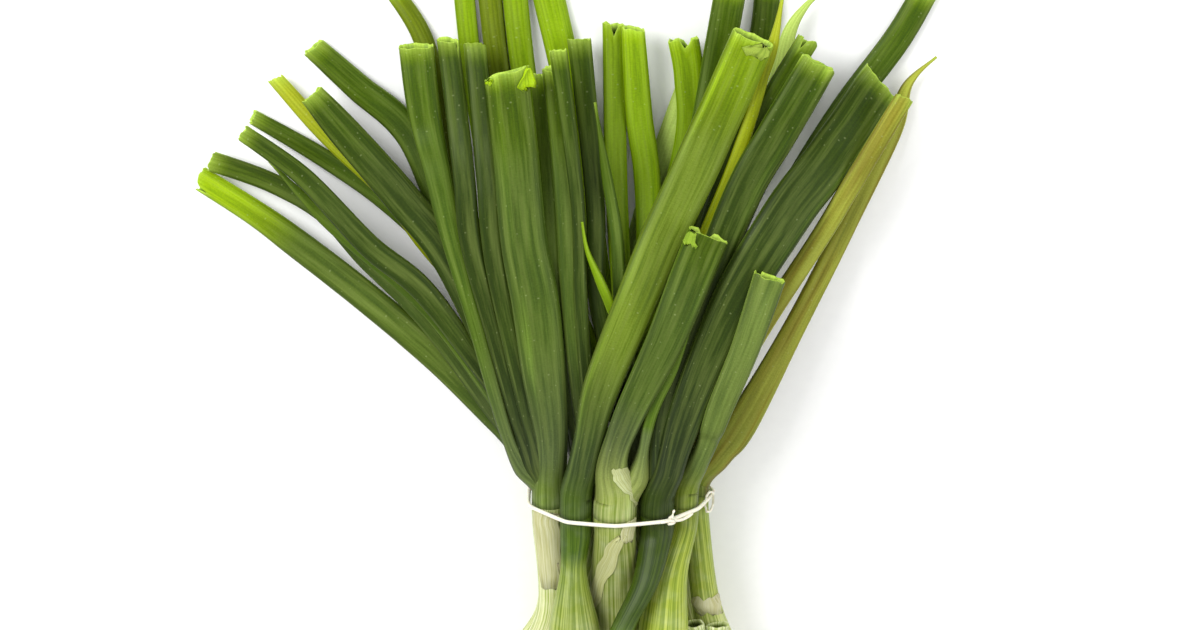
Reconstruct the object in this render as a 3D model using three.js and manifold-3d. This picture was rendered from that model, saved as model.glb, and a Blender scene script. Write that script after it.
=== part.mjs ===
// A bunch of spring onions held by one thin rubber band, lying on its back on a flat surface.
// Millimetres, +Z up. The leaf tips point to +Y, the bulbs and roots to -Y, and the band is at Y = 0.
import * as THREE from "three";
import { mergeVertices } from "three/addons/utils/BufferGeometryUtils.js";
import Module from "manifold-3d";

const wasm = await Module();
wasm.setup();

// Driving dimensions
const NECK_END = 4; // the green leaves part from their pale neck this far past the band
const BAND_HALF = 8; // the necks run straight under the band for this far each way
const COLLAR = 11; // the leaves of a plant leave each other within this distance of the neck
const JOINT_GAP = 0.3; // between two pieces that touch
const BAND_THICK = 1.2;
const BAND_LEAN = Math.tan(THREE.MathUtils.degToRad(6)); // the band's front sits nearer the bulbs
const BUNDLE_MIDDLE = 24; // height of the bundle's middle at the band
const ROOT_PLATE = 0.36; // root plate radius, as a share of the bulb's
const PLATE_THICK = 2.4;
const ROOT_LENGTH = 19;
const ROOT_WIDTH = 1.3;
const ROOT_COUNT = 8;
const LEAF_WALL = 0.8;
const CUT_DEPTH = 7; // how far the hollow of a cut leaf is open

// How the leaves lie on each other
const STACK_GAP = 0.9; // left between two leaves that cross
const SETTLE = 26; // a leaf bends over what lies under it within this distance
const RISE = 40; // a leaf leaves the height of its own neck within this distance
const DROOP = 150; // a free leaf comes down to the surface within this distance
const SPAN_STEPS = 8; // stations between two points of a leaf's route
const RING_STEPS = 4; // stations between two rings of a leaf
const LEAF_SIDES = 8;
const FLAT_SHARE = Math.cos(Math.PI / LEAF_SIDES); // depth of a leaf's flat underside, by its half thickness
const BULB_SIDES = 10;

// Each plant, from the lowest up: neck at the band [x, z, radius], stem below it and bulb [x, y, z, radius]
const PLANTS = {
  floor_left: { neck: [-8.3, 11, 6.3], stem: [[-7.4, -38, 10, 6.4]], bulb: [-9.8, -72, 9.5, 9.5] },
  floor_right: { neck: [5.3, 10.8, 6.3], stem: [[6.6, -38, 10, 6.4]], bulb: [9.8, -66, 9.3, 9.3] },
  low_right: { neck: [18.2, 12.5, 5.9], stem: [[20.6, -40, 11, 6.2]], bulb: [30, -72, 9, 9] },
  low_left: { neck: [-22.4, 15.5, 5.8], stem: [[-20.8, -40, 11.5, 6]], bulb: [-28.8, -66, 9, 9] },
  side_right: { neck: [24.9, 21.5, 4.3], stem: [[27.8, -34, 24.5, 4.6]], bulb: [35, -62, 27, 7.3] },
  inner_right: { neck: [5.8, 24.4, 5.9], stem: [[13.5, -34, 22, 5.2]], bulb: [19, -68, 25.5, 8] },
  inner_left: { neck: [-7.8, 24.8, 5.9], stem: [[-13.5, -34, 22.5, 5.2]], bulb: [-19, -66, 25, 8] },
  side_left: { neck: [-22.5, 29, 5.8], stem: [[-21.6, -36, 31, 5.2]], bulb: [-34, -66, 35.5, 8] },
  dark_front: {
    neck: [11.8, 37, 5.4],
    stem: [[8.2, -22, 45.5, 4.4], [-0.5, -39, 52, 3.8]],
    bulb: [-3, -70, 58, 6.2],
  },
  front_right: {
    neck: [20.6, 30.4, 4.6],
    stem: [[16, -22, 36, 6], [14.4, -36, 40.5, 7.6]],
    bulb: [13.5, -56, 42, 9.3],
  },
  front_left: {
    neck: [-14.2, 38, 5],
    stem: [[-15, -20, 41, 4.3], [-14.8, -36, 44, 7.8]],
    bulb: [-13.8, -52, 44, 10.2],
  },
  front_middle: {
    neck: [-1.6, 38.4, 6.8],
    stem: [[-1.4, -22, 34.4, 8], [-1, -38, 31, 8.8]],
    bulb: [0, -60, 27.5, 9],
  },
};

// Each leaf of a plant, from the lowest up: the points [x, y, width] that its middle passes, neck first.
// A leaf is trimmed across, and hollow there, unless it runs out to a thin tip.
const LEAVES = {
  floor_left: [
    { route: [[-22, 34, 5], [-58, 76, 5.2], [-76, 94, 5.8], [-96, 108, 5.4], [-118, 121, 4.2]] },
    { route: [[-19, 34, 5], [-58, 75, 4.6], [-74, 97, 5.2], [-94, 116, 5.2], [-110, 134, 4.4]] },
    { route: [[-17, 34, 6], [-51, 80, 7.8], [-67, 115, 9], [-84, 131, 8.4], [-98, 144, 7]] },
    { route: [[-14, 34, 5], [-45, 81, 6.4], [-56, 121, 6.4], [-63, 147, 5.8], [-72, 162, 5]] },
  ],
  floor_right: [
    { route: [[1, 30, 5], [1, 61, 5.8], [8, 90, 6.4], [15, 112, 7], [22, 133, 6.4]] },
    { route: [[-4, 30, 5], [-32, 66, 6], [-45, 121, 6], [-50, 165, 6]] },
    { route: [[-2, 30, 5], [-24, 66, 6.4], [-37, 124, 6.8], [-42, 166, 6.8]] },
    { route: [[1, 30, 6], [-16, 66, 6.8], [-29, 124, 7.2], [-34, 167, 7.4]] },
    { route: [[5, 30, 6], [-6, 66, 7.8], [-15, 124, 9], [-24, 166, 9.5]] },
    { route: [[7, 30, 6], [10, 63, 7.8], [22, 113, 9], [22, 135, 9], [20, 148, 9.2]] },
  ],
  low_right: [
    { route: [[18, 30, 6], [16, 63, 7.8], [27, 119, 9], [32, 148, 9.4], [35, 166, 9.4]] },
    { route: [[20, 30, 6], [22, 64, 7.7], [38, 118, 7.7], [45, 146, 7.7], [47, 165, 7.6]] },
    {
      route: [
        [21, 30, 5], [26, 65, 4.6], [40, 108, 4.6], [50, 135, 4.6],
        [54, 150, 4.6], [59, 158, 4.4], [65, 163, 3.4],
      ],
      pointed: true,
    },
    { route: [[21, 30, 5], [25, 70, 5.8], [38, 109, 6.4], [47, 130, 6.4], [59, 150, 6.4]] },
    { route: [[22, 30, 6], [32, 63, 7.8], [54, 96, 8.3], [72, 124, 8.3], [88, 146, 8.3], [97, 162, 7.8]] },
  ],
  low_left: [
    {
      route: [
        [-35.5, 16.5, 6], [-58, 42, 9], [-81, 62, 9.2],
        [-103, 79, 9], [-118, 90, 7.8], [-135, 101, 7.2],
      ],
    },
    {
      route: [
        [-36.5, 19, 5.2], [-61, 55, 5.8], [-82, 76, 5.8],
        [-95, 90, 5.6], [-112, 100, 5.8], [-131, 107, 6],
      ],
    },
    {
      route: [
        [-36.5, 23, 3.4], [-61, 60, 4], [-91, 87, 4],
        [-103, 99, 3.6], [-112, 109, 3],
      ],
      pointed: true,
    },
    { route: [[-35.5, 27, 5.2], [-61, 66, 7], [-80, 83, 7], [-101, 105, 5.8], [-120, 119, 4.8]] },
    { route: [[-35.5, 34, 7], [-54, 77, 10.2], [-69, 97, 10.8], [-88, 119, 9.6], [-98, 131, 7.2]] },
  ],
  side_right: [
    {
      route: [
        [33, 14.5, 9], [39, 23, 10], [55, 53, 6.8], [72, 86, 5.8],
        [87, 116, 5.4], [92, 132, 4.4], [101, 141, 1.6],
      ],
      pointed: true,
    },
  ],
  inner_right: [
    { route: [[3, 34, 5], [-1, 97, 6.4], [-2, 152, 6.6]] },
    { route: [[8, 34, 6], [9, 96, 7.7], [6, 124, 8], [4, 152, 6.8]] },
    { route: [[0, 34, 5.2], [-7, 67, 5.4], [-8, 99, 5.4], [-13, 148, 6.9]] },
    {
      route: [
        [12, 36, 4], [16, 60, 3.8], [36, 112, 3.8],
        [44, 138, 3.8], [48, 150, 3.8], [51, 166, 2.6],
      ],
      pointed: true,
    },
    {
      route: [
        [4, 36, 3.6], [0.5, 57, 3.5], [-1, 87, 3.5],
        [-4.5, 109, 2.8], [-8, 131, 1.6],
      ],
      pointed: true,
    },
  ],
  inner_left: [
    { route: [[-16, 32, 5.2], [-21, 67, 5.8], [-23, 99, 6.3], [-26, 138, 6.3]] },
    { route: [[-13, 32, 4.6], [-16, 68, 5.2], [-17.5, 100, 5.7], [-22, 142, 4.6]] },
    { route: [[-10, 32, 4.2], [-12.5, 68, 3.8], [-13.5, 101, 3.8], [-19.5, 149, 5]] },
    {
      route: [
        [-5, 36, 3.2], [-1, 59, 2.9], [-3, 67, 2.6],
        [-7, 77, 2.5], [-10.5, 86, 2], [-12, 95, 1.2],
      ],
      pointed: true,
    },
  ],
  side_left: [
    {
      route: [
        [-35, 18.5, 3.9], [-46.5, 60, 4.6], [-53.5, 87, 6.4],
        [-58, 108, 8.2], [-62, 126, 9.8], [-64.5, 147, 10.4],
      ],
    },
    { route: [[-31, 20.5, 3.9], [-41.5, 61, 5.1], [-47.5, 87, 6.3], [-49.5, 109, 6.3], [-54.5, 149, 6.3]] },
    { route: [[-28.5, 24, 4.5], [-37.5, 68, 5.7], [-40.5, 88, 6.3], [-42, 109, 6.6], [-46, 147, 6.4]] },
    {
      route: [
        [-22, 21, 10], [-24.5, 45, 13.4], [-27, 68, 14.4],
        [-30.5, 88, 14], [-33, 117, 13.8], [-35.5, 142, 13.7],
      ],
    },
  ],
  dark_front: [
    { route: [[14, 32, 8], [25.5, 68, 10.2], [39, 104, 11.4], [49.5, 123, 11.9], [62, 145, 11.2]] },
    { route: [[21, 32, 11], [36.5, 70, 13.9], [52, 96, 15], [68, 115, 15.2], [83, 135, 14.3]] },
  ],
  front_right: [
    { route: [[27.5, 24, 4.5], [39.5, 48, 5.8], [62.5, 86, 5.8], [73, 105, 5.8], [89, 133, 5.3]] },
    { route: [[24, 12, 5.4], [27.6, 21, 6.2], [31.5, 34, 7.6], [39.5, 55, 8.5], [47, 79, 9.7]] },
  ],
  front_left: [
    { route: [[-10, 24, 9], [-5, 44, 11.4], [11, 84, 13.3], [26, 116, 13.9], [41.5, 153, 13.2]] },
  ],
  front_middle: [
    { route: [[5.5, 12, 3], [10, 33, 3.2], [17.5, 50, 3.2], [23.5, 66, 3]], pointed: true },
    { route: [[-2.5, 16, 7.8], [2.5, 32, 9], [14.5, 59, 11.4], [22.5, 80, 12.5], [27.5, 93, 12.6]] },
  ],
};

const COLOURS = { leaf: "#4f6a22", neck: "#bcc489", roots: "#cfc39a", band: "#f1ecd8" };

// Curves and small helpers
const lerp = THREE.MathUtils.lerp;
const smooth = (t) => THREE.MathUtils.smoothstep(t, 0, 1);

function catmull(a, b, c, d, t) {
  return 0.5 * (2 * b + (c - a) * t + (2 * a - 5 * b + 4 * c - d) * t * t + (3 * b - a - 3 * c + d) * t ** 3);
}

function spline(points, steps) {
  const last = points.length - 1;
  const out = [];
  for (let i = 0; i < last; i++) {
    const [a, b, c, d] = [-1, 0, 1, 2].map((k) => points[THREE.MathUtils.clamp(i + k, 0, last)]);
    for (let k = 0; k < steps; k++) out.push(b.map((_, n) => catmull(a[n], b[n], c[n], d[n], k / steps)));
  }
  out.push([...points[last]]);
  return out;
}

// A seeded random number, the same on every run
function randomFrom(seed) {
  let state = seed;
  return () => {
    state = (state * 1664525 + 1013904223) % 4294967296;
    return state / 4294967296;
  };
}

// Closed skin over rings of equal length, each capped by a fan round its mean
function skin(rings) {
  const sides = rings[0].length;
  const verts = rings.flat();
  const mean = (ring) => ring.reduce((s, p) => s.add(p), new THREE.Vector3()).divideScalar(sides);
  const first = verts.push(mean(rings[0])) - 1;
  const last = verts.push(mean(rings.at(-1))) - 1;
  const faces = [];
  const end = (rings.length - 1) * sides;
  for (let s = 0; s < sides; s++) {
    const t = (s + 1) % sides;
    for (let r = 0; r < end; r += sides) {
      faces.push(r + s, r + t, r + sides + t, r + s, r + sides + t, r + sides + s);
    }
    faces.push(first, t, s, last, end + s, end + t);
  }
  return new THREE.BufferGeometry().setFromPoints(verts).setIndex(faces);
}

function toSolid(geometry) {
  const merged = mergeVertices(geometry, 1e-4);
  const made = new wasm.Manifold(
    new wasm.Mesh({
      numProp: 3,
      vertProperties: new Float32Array(merged.attributes.position.array),
      triVerts: new Uint32Array(merged.index.array),
    }),
  );
  return made;
}

function toGeometry(solid) {
  const mesh = solid.getMesh();
  const geometry = new THREE.BufferGeometry();
  geometry.setAttribute("position", new THREE.BufferAttribute(mesh.vertProperties, 3));
  geometry.setIndex(new THREE.BufferAttribute(mesh.triVerts, 1));
  return geometry;
}

function fuse(geometries) {
  return geometries.map(toSolid).reduce((all, next) => all.add(next));
}

// Stations of one leaf: its middle in plan, half width, half thickness and distance along it
function routeLeaf(plant, leaf, index, count) {
  const [neckX, neckZ, radius] = PLANTS[plant].neck;
  const half = radius * (count === 1 ? 0.9 : count === 2 ? 0.66 : 0.56);
  const seat = count === 1 ? 0 : (radius - half) * (2 * index / (count - 1) - 1);
  const startX = neckX + (count === 1 ? 0 : seatSide(leaf) * Math.abs(seat) * 0.8);
  const points = [[startX, NECK_END + JOINT_GAP, 2 * half], ...leaf.route];
  const stations = spline(points, SPAN_STEPS).map(([x, y, width]) => ({ x, y, a: width / 2 }));
  let along = 0;
  stations.forEach((p, i) => {
    if (i) along += Math.hypot(p.x - stations[i - 1].x, p.y - stations[i - 1].y);
    p.s = along;
    const flat = 0.55 + 0.15 * p.a * 2;
    p.b = lerp(half * 0.92, Math.min(flat, p.a), smooth(along / RISE));
  });
  return { plant, stations, start: neckZ + seat * 0.5, pointed: Boolean(leaf.pointed) };
}

// The side of the neck on which a leaf starts is the side to which it leans
function seatSide(leaf) {
  const [x0] = leaf.route[0];
  const [x1, y1] = leaf.route.at(-1);
  return THREE.MathUtils.clamp((x1 - x0) / (0.4 * y1), -1, 1);
}

// Nearest point of another leaf's middle, in plan
function nearest(p, stations) {
  let best = { d: Infinity };
  for (let i = 1; i < stations.length; i++) {
    const [u, v] = [stations[i - 1], stations[i]];
    const [dx, dy] = [v.x - u.x, v.y - u.y];
    const t = THREE.MathUtils.clamp(((p.x - u.x) * dx + (p.y - u.y) * dy) / (dx * dx + dy * dy), 0, 1);
    const d = Math.hypot(p.x - lerp(u.x, v.x, t), p.y - lerp(u.y, v.y, t));
    if (d < best.d) best = { d, z: lerp(u.z, v.z, t), a: lerp(u.a, v.a, t), b: lerp(u.b, v.b, t) };
  }
  return best;
}

// Lowest height at which a leaf clears every leaf already laid down
function needed(p, plant, laid) {
  let height = p.b * FLAT_SHARE;
  for (const other of laid) {
    const n = nearest(p, other.stations);
    const reach = p.a + n.a + STACK_GAP;
    if (n.d >= reach) continue;
    const share = other.plant === plant ? smooth((p.s - RISE / 2) / RISE) : 1;
    const lift = (p.b + n.b + STACK_GAP) * Math.sqrt(1 - (n.d / reach) ** 2);
    height = Math.max(height, lerp(p.b, n.z + lift, share));
  }
  return height;
}

// Lays one leaf over those before it: it droops to what lies under it and bends over it smoothly
function layLeaf(leaf, laid) {
  const stations = leaf.stations;
  const need = stations.map((p) => needed(p, leaf.plant, laid));
  const droop = (p) => lerp(leaf.start, p.b * FLAT_SHARE, smooth(p.s / DROOP));
  const wish = stations.map((p, i) => Math.max(need[i], droop(p)));
  const near = (i, j) => Math.abs(stations[i].s - stations[j].s) <= SETTLE;
  const over = (values, merge) => stations.map((_, i) => merge(values.filter((_, j) => near(i, j))));
  const tops = over(wish, (list) => Math.max(...list));
  const bent = over(tops, (list) => list.reduce((s, v) => s + v, 0) / list.length);
  stations.forEach((p, i) => {
    const free = smooth(p.s / RISE);
    p.z = Math.max(lerp(leaf.start, bent[i], free), i ? need[i] : 0);
  });
}

const leaves = [];
for (const [plant, list] of Object.entries(LEAVES)) {
  list.forEach((leaf, index) => {
    const made = routeLeaf(plant, leaf, index, list.length);
    layLeaf(made, leaves);
    leaves.push(made);
  });
}

// A ring of a leaf: an oval across its direction, flat below
function leafRing(p, direction, inset = 0, back = 0) {
  const across = new THREE.Vector3(direction.y, -direction.x, 0).normalize();
  const up = new THREE.Vector3().crossVectors(across, direction).normalize();
  const middle = new THREE.Vector3(p.x, p.y, p.z).addScaledVector(direction, -back);
  return Array.from({ length: LEAF_SIDES }, (_, k) => {
    const angle = ((k + 0.5) / LEAF_SIDES) * 2 * Math.PI;
    return middle
      .clone()
      .addScaledVector(across, -Math.cos(angle) * Math.max(p.a - inset, 0.25))
      .addScaledVector(up, Math.sin(angle) * Math.max(p.b - inset, 0.25));
  });
}

function leafSolid(leaf) {
  const picked = leaf.stations.filter((_, i, all) => i % RING_STEPS === 0 || i === all.length - 1);
  const points = picked.map((p) => new THREE.Vector3(p.x, p.y, p.z));
  const direction = (i) =>
    i === 0
      ? new THREE.Vector3(0, 1, 0)
      : points[Math.min(i + 1, points.length - 1)].clone().sub(points[i - 1]).normalize();
  const rings = picked.map((p, i) => leafRing(p, direction(i)));
  const tip = picked.at(-1);
  if (!leaf.pointed) {
    const out = direction(points.length - 1);
    rings.push(leafRing(tip, out, LEAF_WALL));
    rings.push(leafRing(tip, out, LEAF_WALL, CUT_DEPTH));
  }
  return skin(rings);
}

// The collar in which the leaves of a plant still hold together
function collarSolid({ neck: [x, z, radius] }) {
  const collar = new THREE.CylinderGeometry(0.62 * radius, 0.96 * radius, COLLAR, BULB_SIDES);
  collar.deleteAttribute("normal");
  collar.deleteAttribute("uv");
  return collar.translate(x, NECK_END + JOINT_GAP + COLLAR / 2, z);
}

// Neck and bulb of a plant, from the flat end under the leaves down to the root plate
function bulbSolid({ neck, stem, bulb }) {
  const [x, y, z, radius] = bulb;
  const throat = stem.at(-1).map((v, i) => lerp(v, bulb[i], 0.55));
  const stations = [
    [neck[0], NECK_END, neck[1], neck[2]],
    [neck[0], -BAND_HALF, neck[1], neck[2]],
    ...stem,
    throat,
    [x, y + 0.35 * radius, z, 0.94 * radius],
    [x, y + 2, z, radius],
    [x, y - 3, z, radius],
    [x, y - 0.75 * radius, z, 0.78 * radius],
    [x, y - radius, z, ROOT_PLATE * radius],
  ];
  const flatSide = Math.cos(Math.PI / BULB_SIDES);
  return skin(
    stations.map(([cx, cy, cz, r]) =>
      Array.from({ length: BULB_SIDES }, (_, k) => {
        const angle = ((k + 0.5) / BULB_SIDES) * 2 * Math.PI + Math.PI / 2;
        const corner = r / flatSide;
        return new THREE.Vector3(cx + Math.cos(angle) * corner, cy, cz + Math.sin(angle) * corner);
      }),
    ),
  );
}

// One root: a thin three-sided taper that starts deep in the root plate and spreads as it leaves
function rootSolid(from, to) {
  const rings = [0, 0.45, 1].map((t) => {
    const middle = from.clone().lerp(to, t);
    const half = (ROOT_WIDTH / 2) * (1 - 0.35 * t);
    return [0, 1, 2].map((k) => {
      const angle = (k / 3) * 2 * Math.PI;
      return new THREE.Vector3(Math.cos(angle) * half, 0, Math.sin(angle) * half).add(middle);
    });
  });
  return skin(rings);
}

// Root tuft of a plant: a thin plate with roots on a sunflower spiral
function rootsSolid({ bulb }, seed) {
  const [x, y, z, radius] = bulb;
  const random = randomFrom(seed);
  const plateY = y - radius - JOINT_GAP;
  const plate = new THREE.CylinderGeometry(0.34 * radius, 0.28 * radius, PLATE_THICK, BULB_SIDES);
  plate.deleteAttribute("normal");
  plate.deleteAttribute("uv");
  plate.translate(x, plateY - PLATE_THICK / 2, z);
  const solids = [plate];
  for (let k = 0; k < ROOT_COUNT; k++) {
    const turn = k * Math.PI * (3 - Math.sqrt(5));
    const out = Math.sqrt((k + 0.5) / ROOT_COUNT);
    const side = new THREE.Vector3(Math.cos(turn), 0, Math.sin(turn));
    const from = new THREE.Vector3(x, plateY - PLATE_THICK / 2, z).addScaledVector(side, out * 0.24 * radius);
    const length = ROOT_LENGTH * (0.75 + 0.35 * random());
    const to = new THREE.Vector3(x, plateY - length, z).addScaledVector(side, out * 0.8 * radius);
    solids.push(rootSolid(from, to));
  }
  return fuse(solids);
}

// The rubber band: a thin ring stretched round the outer necks
function bandSolid() {
  const turns = 48;
  const sides = 6;
  const half = BAND_THICK / 2;
  const middle = Array.from({ length: turns }, (_, i) => {
    const angle = (i / turns) * 2 * Math.PI;
    const side = new THREE.Vector3(Math.cos(angle), 0, Math.sin(angle));
    const reach = Object.values(PLANTS).map(({ neck: [x, z, r] }) => x * side.x + z * side.z + r);
    const outer = Object.values(PLANTS)[reach.indexOf(Math.max(...reach))].neck;
    const away = outer[2] / Math.cos(Math.PI / BULB_SIDES) + JOINT_GAP + half;
    return new THREE.Vector3(outer[0], 0, outer[1]).addScaledVector(side, away);
  });
  middle.forEach((p) => (p.y = -(p.z - BUNDLE_MIDDLE) * BAND_LEAN));
  const verts = [];
  const faces = [];
  middle.forEach((p, i) => {
    const turn = (i / turns) * 2 * Math.PI;
    const side = new THREE.Vector3(Math.cos(turn), 0, Math.sin(turn));
    for (let k = 0; k < sides; k++) {
      const angle = (k / sides) * 2 * Math.PI;
      const point = p.clone().addScaledVector(side, Math.cos(angle) * half);
      point.y += Math.sin(angle) * half;
      verts.push(point);
      const next = (k + 1) % sides;
      const a = i * sides;
      const b = ((i + 1) % turns) * sides;
      faces.push(a + k, b + next, b + k, a + k, a + next, b + next);
    }
  });
  return new THREE.BufferGeometry().setFromPoints(verts).setIndex(faces);
}

// The bunch
function piece(name, geometry, colour, roughness) {
  const material = new THREE.MeshStandardMaterial({ color: colour, roughness, metalness: 0 });
  const mesh = new THREE.Mesh(geometry, material);
  mesh.name = name;
  return mesh;
}

const bunch = new THREE.Group();
Object.entries(PLANTS).forEach(([plant, shape], index) => {
  const own = leaves.filter((leaf) => leaf.plant === plant).map(leafSolid);
  bunch.add(piece(`${plant}_leaves`, toGeometry(fuse([collarSolid(shape), ...own])), COLOURS.leaf, 0.5));
  bunch.add(piece(`${plant}_bulb`, bulbSolid(shape), COLOURS.neck, 0.45));
  bunch.add(piece(`${plant}_roots`, toGeometry(rootsSolid(shape, 11 + index)), COLOURS.roots, 0.8));
});
bunch.add(piece("rubber_band", bandSolid(), COLOURS.band, 0.6));

// The origin is the middle of the surface under the bunch
const box = new THREE.Box3().setFromObject(bunch);
bunch.position.set(-(box.min.x + box.max.x) / 2, -(box.min.y + box.max.y) / 2, -box.min.z);

export default bunch;
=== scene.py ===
# %% [markdown]
# A bunch of spring onions, laid down and seen from above
#
# The bunch is twelve plants held by one thin rubber band. Each plant is one grown thing: a tuft of roots, a
# pale bulb and neck, and hollow green leaves that part above the neck. This lesson builds every leaf, neck,
# skin, root and the band as meshes, and gives each a finish made of nodes.

# %% Load the frame
import math
import random

import bpy
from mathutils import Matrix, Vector, noise


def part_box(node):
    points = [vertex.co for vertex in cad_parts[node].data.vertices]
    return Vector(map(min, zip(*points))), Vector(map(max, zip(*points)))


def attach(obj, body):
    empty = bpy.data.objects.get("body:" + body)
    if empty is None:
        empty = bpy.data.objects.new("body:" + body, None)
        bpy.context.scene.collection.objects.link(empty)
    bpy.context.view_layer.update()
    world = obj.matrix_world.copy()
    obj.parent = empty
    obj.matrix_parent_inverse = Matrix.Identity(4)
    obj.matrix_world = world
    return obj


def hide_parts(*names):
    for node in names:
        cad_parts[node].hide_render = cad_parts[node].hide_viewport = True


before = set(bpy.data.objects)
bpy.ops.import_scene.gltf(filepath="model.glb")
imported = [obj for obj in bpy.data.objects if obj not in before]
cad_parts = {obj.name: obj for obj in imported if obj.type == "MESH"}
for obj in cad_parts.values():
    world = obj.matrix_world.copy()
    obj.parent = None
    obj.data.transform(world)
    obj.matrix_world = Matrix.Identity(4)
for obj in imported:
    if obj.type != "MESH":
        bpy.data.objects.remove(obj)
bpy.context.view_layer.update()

# %% [markdown]
# Measures
#
# All sizes are in millimetres, in the bunch's own frame: the band is at Y = 0, the leaf tips point to +Y
# and the surface is at Z = 0. Blender works in metres, so one constant turns them when a mesh is written.
# The same few numbers that shape the solid model are repeated here, so each fine piece lies where its solid
# lies.

# %% Driving dimensions
MM = 0.001
NECK_END = 4  # the Y at which a neck ends and its leaves start
BAND_HALF = 8
BAND_THICK = 1.2
BAND_LEAN = math.tan(math.radians(6))
BUNDLE_MIDDLE = 24  # the height of the middle of the bound necks
JOINT_GAP = 0.3
STACK_GAP = 0.9  # air left between a leaf and the one it lies on
SETTLE = 26  # how far before and after a crossing a leaf bends
RISE = 40  # the length over which a leaf leaves its neck
DROOP = 150  # the length over which a free leaf comes down to the surface
SPAN_STEPS = 8
FLAT_SHARE = math.cos(math.pi / 8)
LEAF_SHARES = {1: 0.9, 2: 0.66}  # a leaf's half width at the neck, as a share of it, by the count of leaves
MANY_SHARE = 0.56
LEAN_SHARE = 0.4  # a leaf that goes this far aside for its length starts at the side of its neck
SEAT_ASIDE = 0.8
SEAT_UP = 0.5
FOOT_THICK = 0.92  # a leaf's thickness at its foot, as a share of its width
THIN_LEAF = 0.55  # half the thickness of a free leaf, and how it grows with the width
THICK_SHARE = 0.3

# Each plant, from the lowest up: neck at the band (x, z, radius), stem points and bulb (x, y, z, radius)
PLANT_ROWS = {
    "floor_left": ((-8.3, 11, 6.3), [(-7.4, -38, 10, 6.4)], (-9.8, -72, 9.5, 9.5)),
    "floor_right": ((5.3, 10.8, 6.3), [(6.6, -38, 10, 6.4)], (9.8, -66, 9.3, 9.3)),
    "low_right": ((18.2, 12.5, 5.9), [(20.6, -40, 11, 6.2)], (30, -72, 9, 9)),
    "low_left": ((-22.4, 15.5, 5.8), [(-20.8, -40, 11.5, 6)], (-28.8, -66, 9, 9)),
    "side_right": ((24.9, 21.5, 4.3), [(27.8, -34, 24.5, 4.6)], (35, -62, 27, 7.3)),
    "inner_right": ((5.8, 24.4, 5.9), [(13.5, -34, 22, 5.2)], (19, -68, 25.5, 8)),
    "inner_left": ((-7.8, 24.8, 5.9), [(-13.5, -34, 22.5, 5.2)], (-19, -66, 25, 8)),
    "side_left": ((-22.5, 29, 5.8), [(-21.6, -36, 31, 5.2)], (-34, -66, 35.5, 8)),
    "dark_front": (
        (11.8, 37, 5.4), [(8.2, -22, 45.5, 4.4), (-0.5, -39, 52, 3.8)], (-3, -70, 58, 6.2)),
    "front_right": (
        (20.6, 30.4, 4.6), [(16, -22, 36, 6), (14.4, -36, 40.5, 7.6)], (13.5, -56, 42, 9.3)),
    "front_left": (
        (-14.2, 38, 5), [(-15, -20, 41, 4.3), (-14.8, -36, 44, 7.8)], (-13.8, -52, 44, 10.2)),
    "front_middle": (
        (-1.6, 38.4, 6.8), [(-1.4, -22, 34.4, 8), (-1, -38, 31, 8.8)], (0, -60, 27.5, 9)),
}
PLANTS = {name: dict(zip(("neck", "stem", "bulb"), row)) for name, row in PLANT_ROWS.items()}
print(len(PLANTS), "plants, the widest bulb", 2 * max(p["bulb"][3] for p in PLANTS.values()), "mm across")
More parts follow.
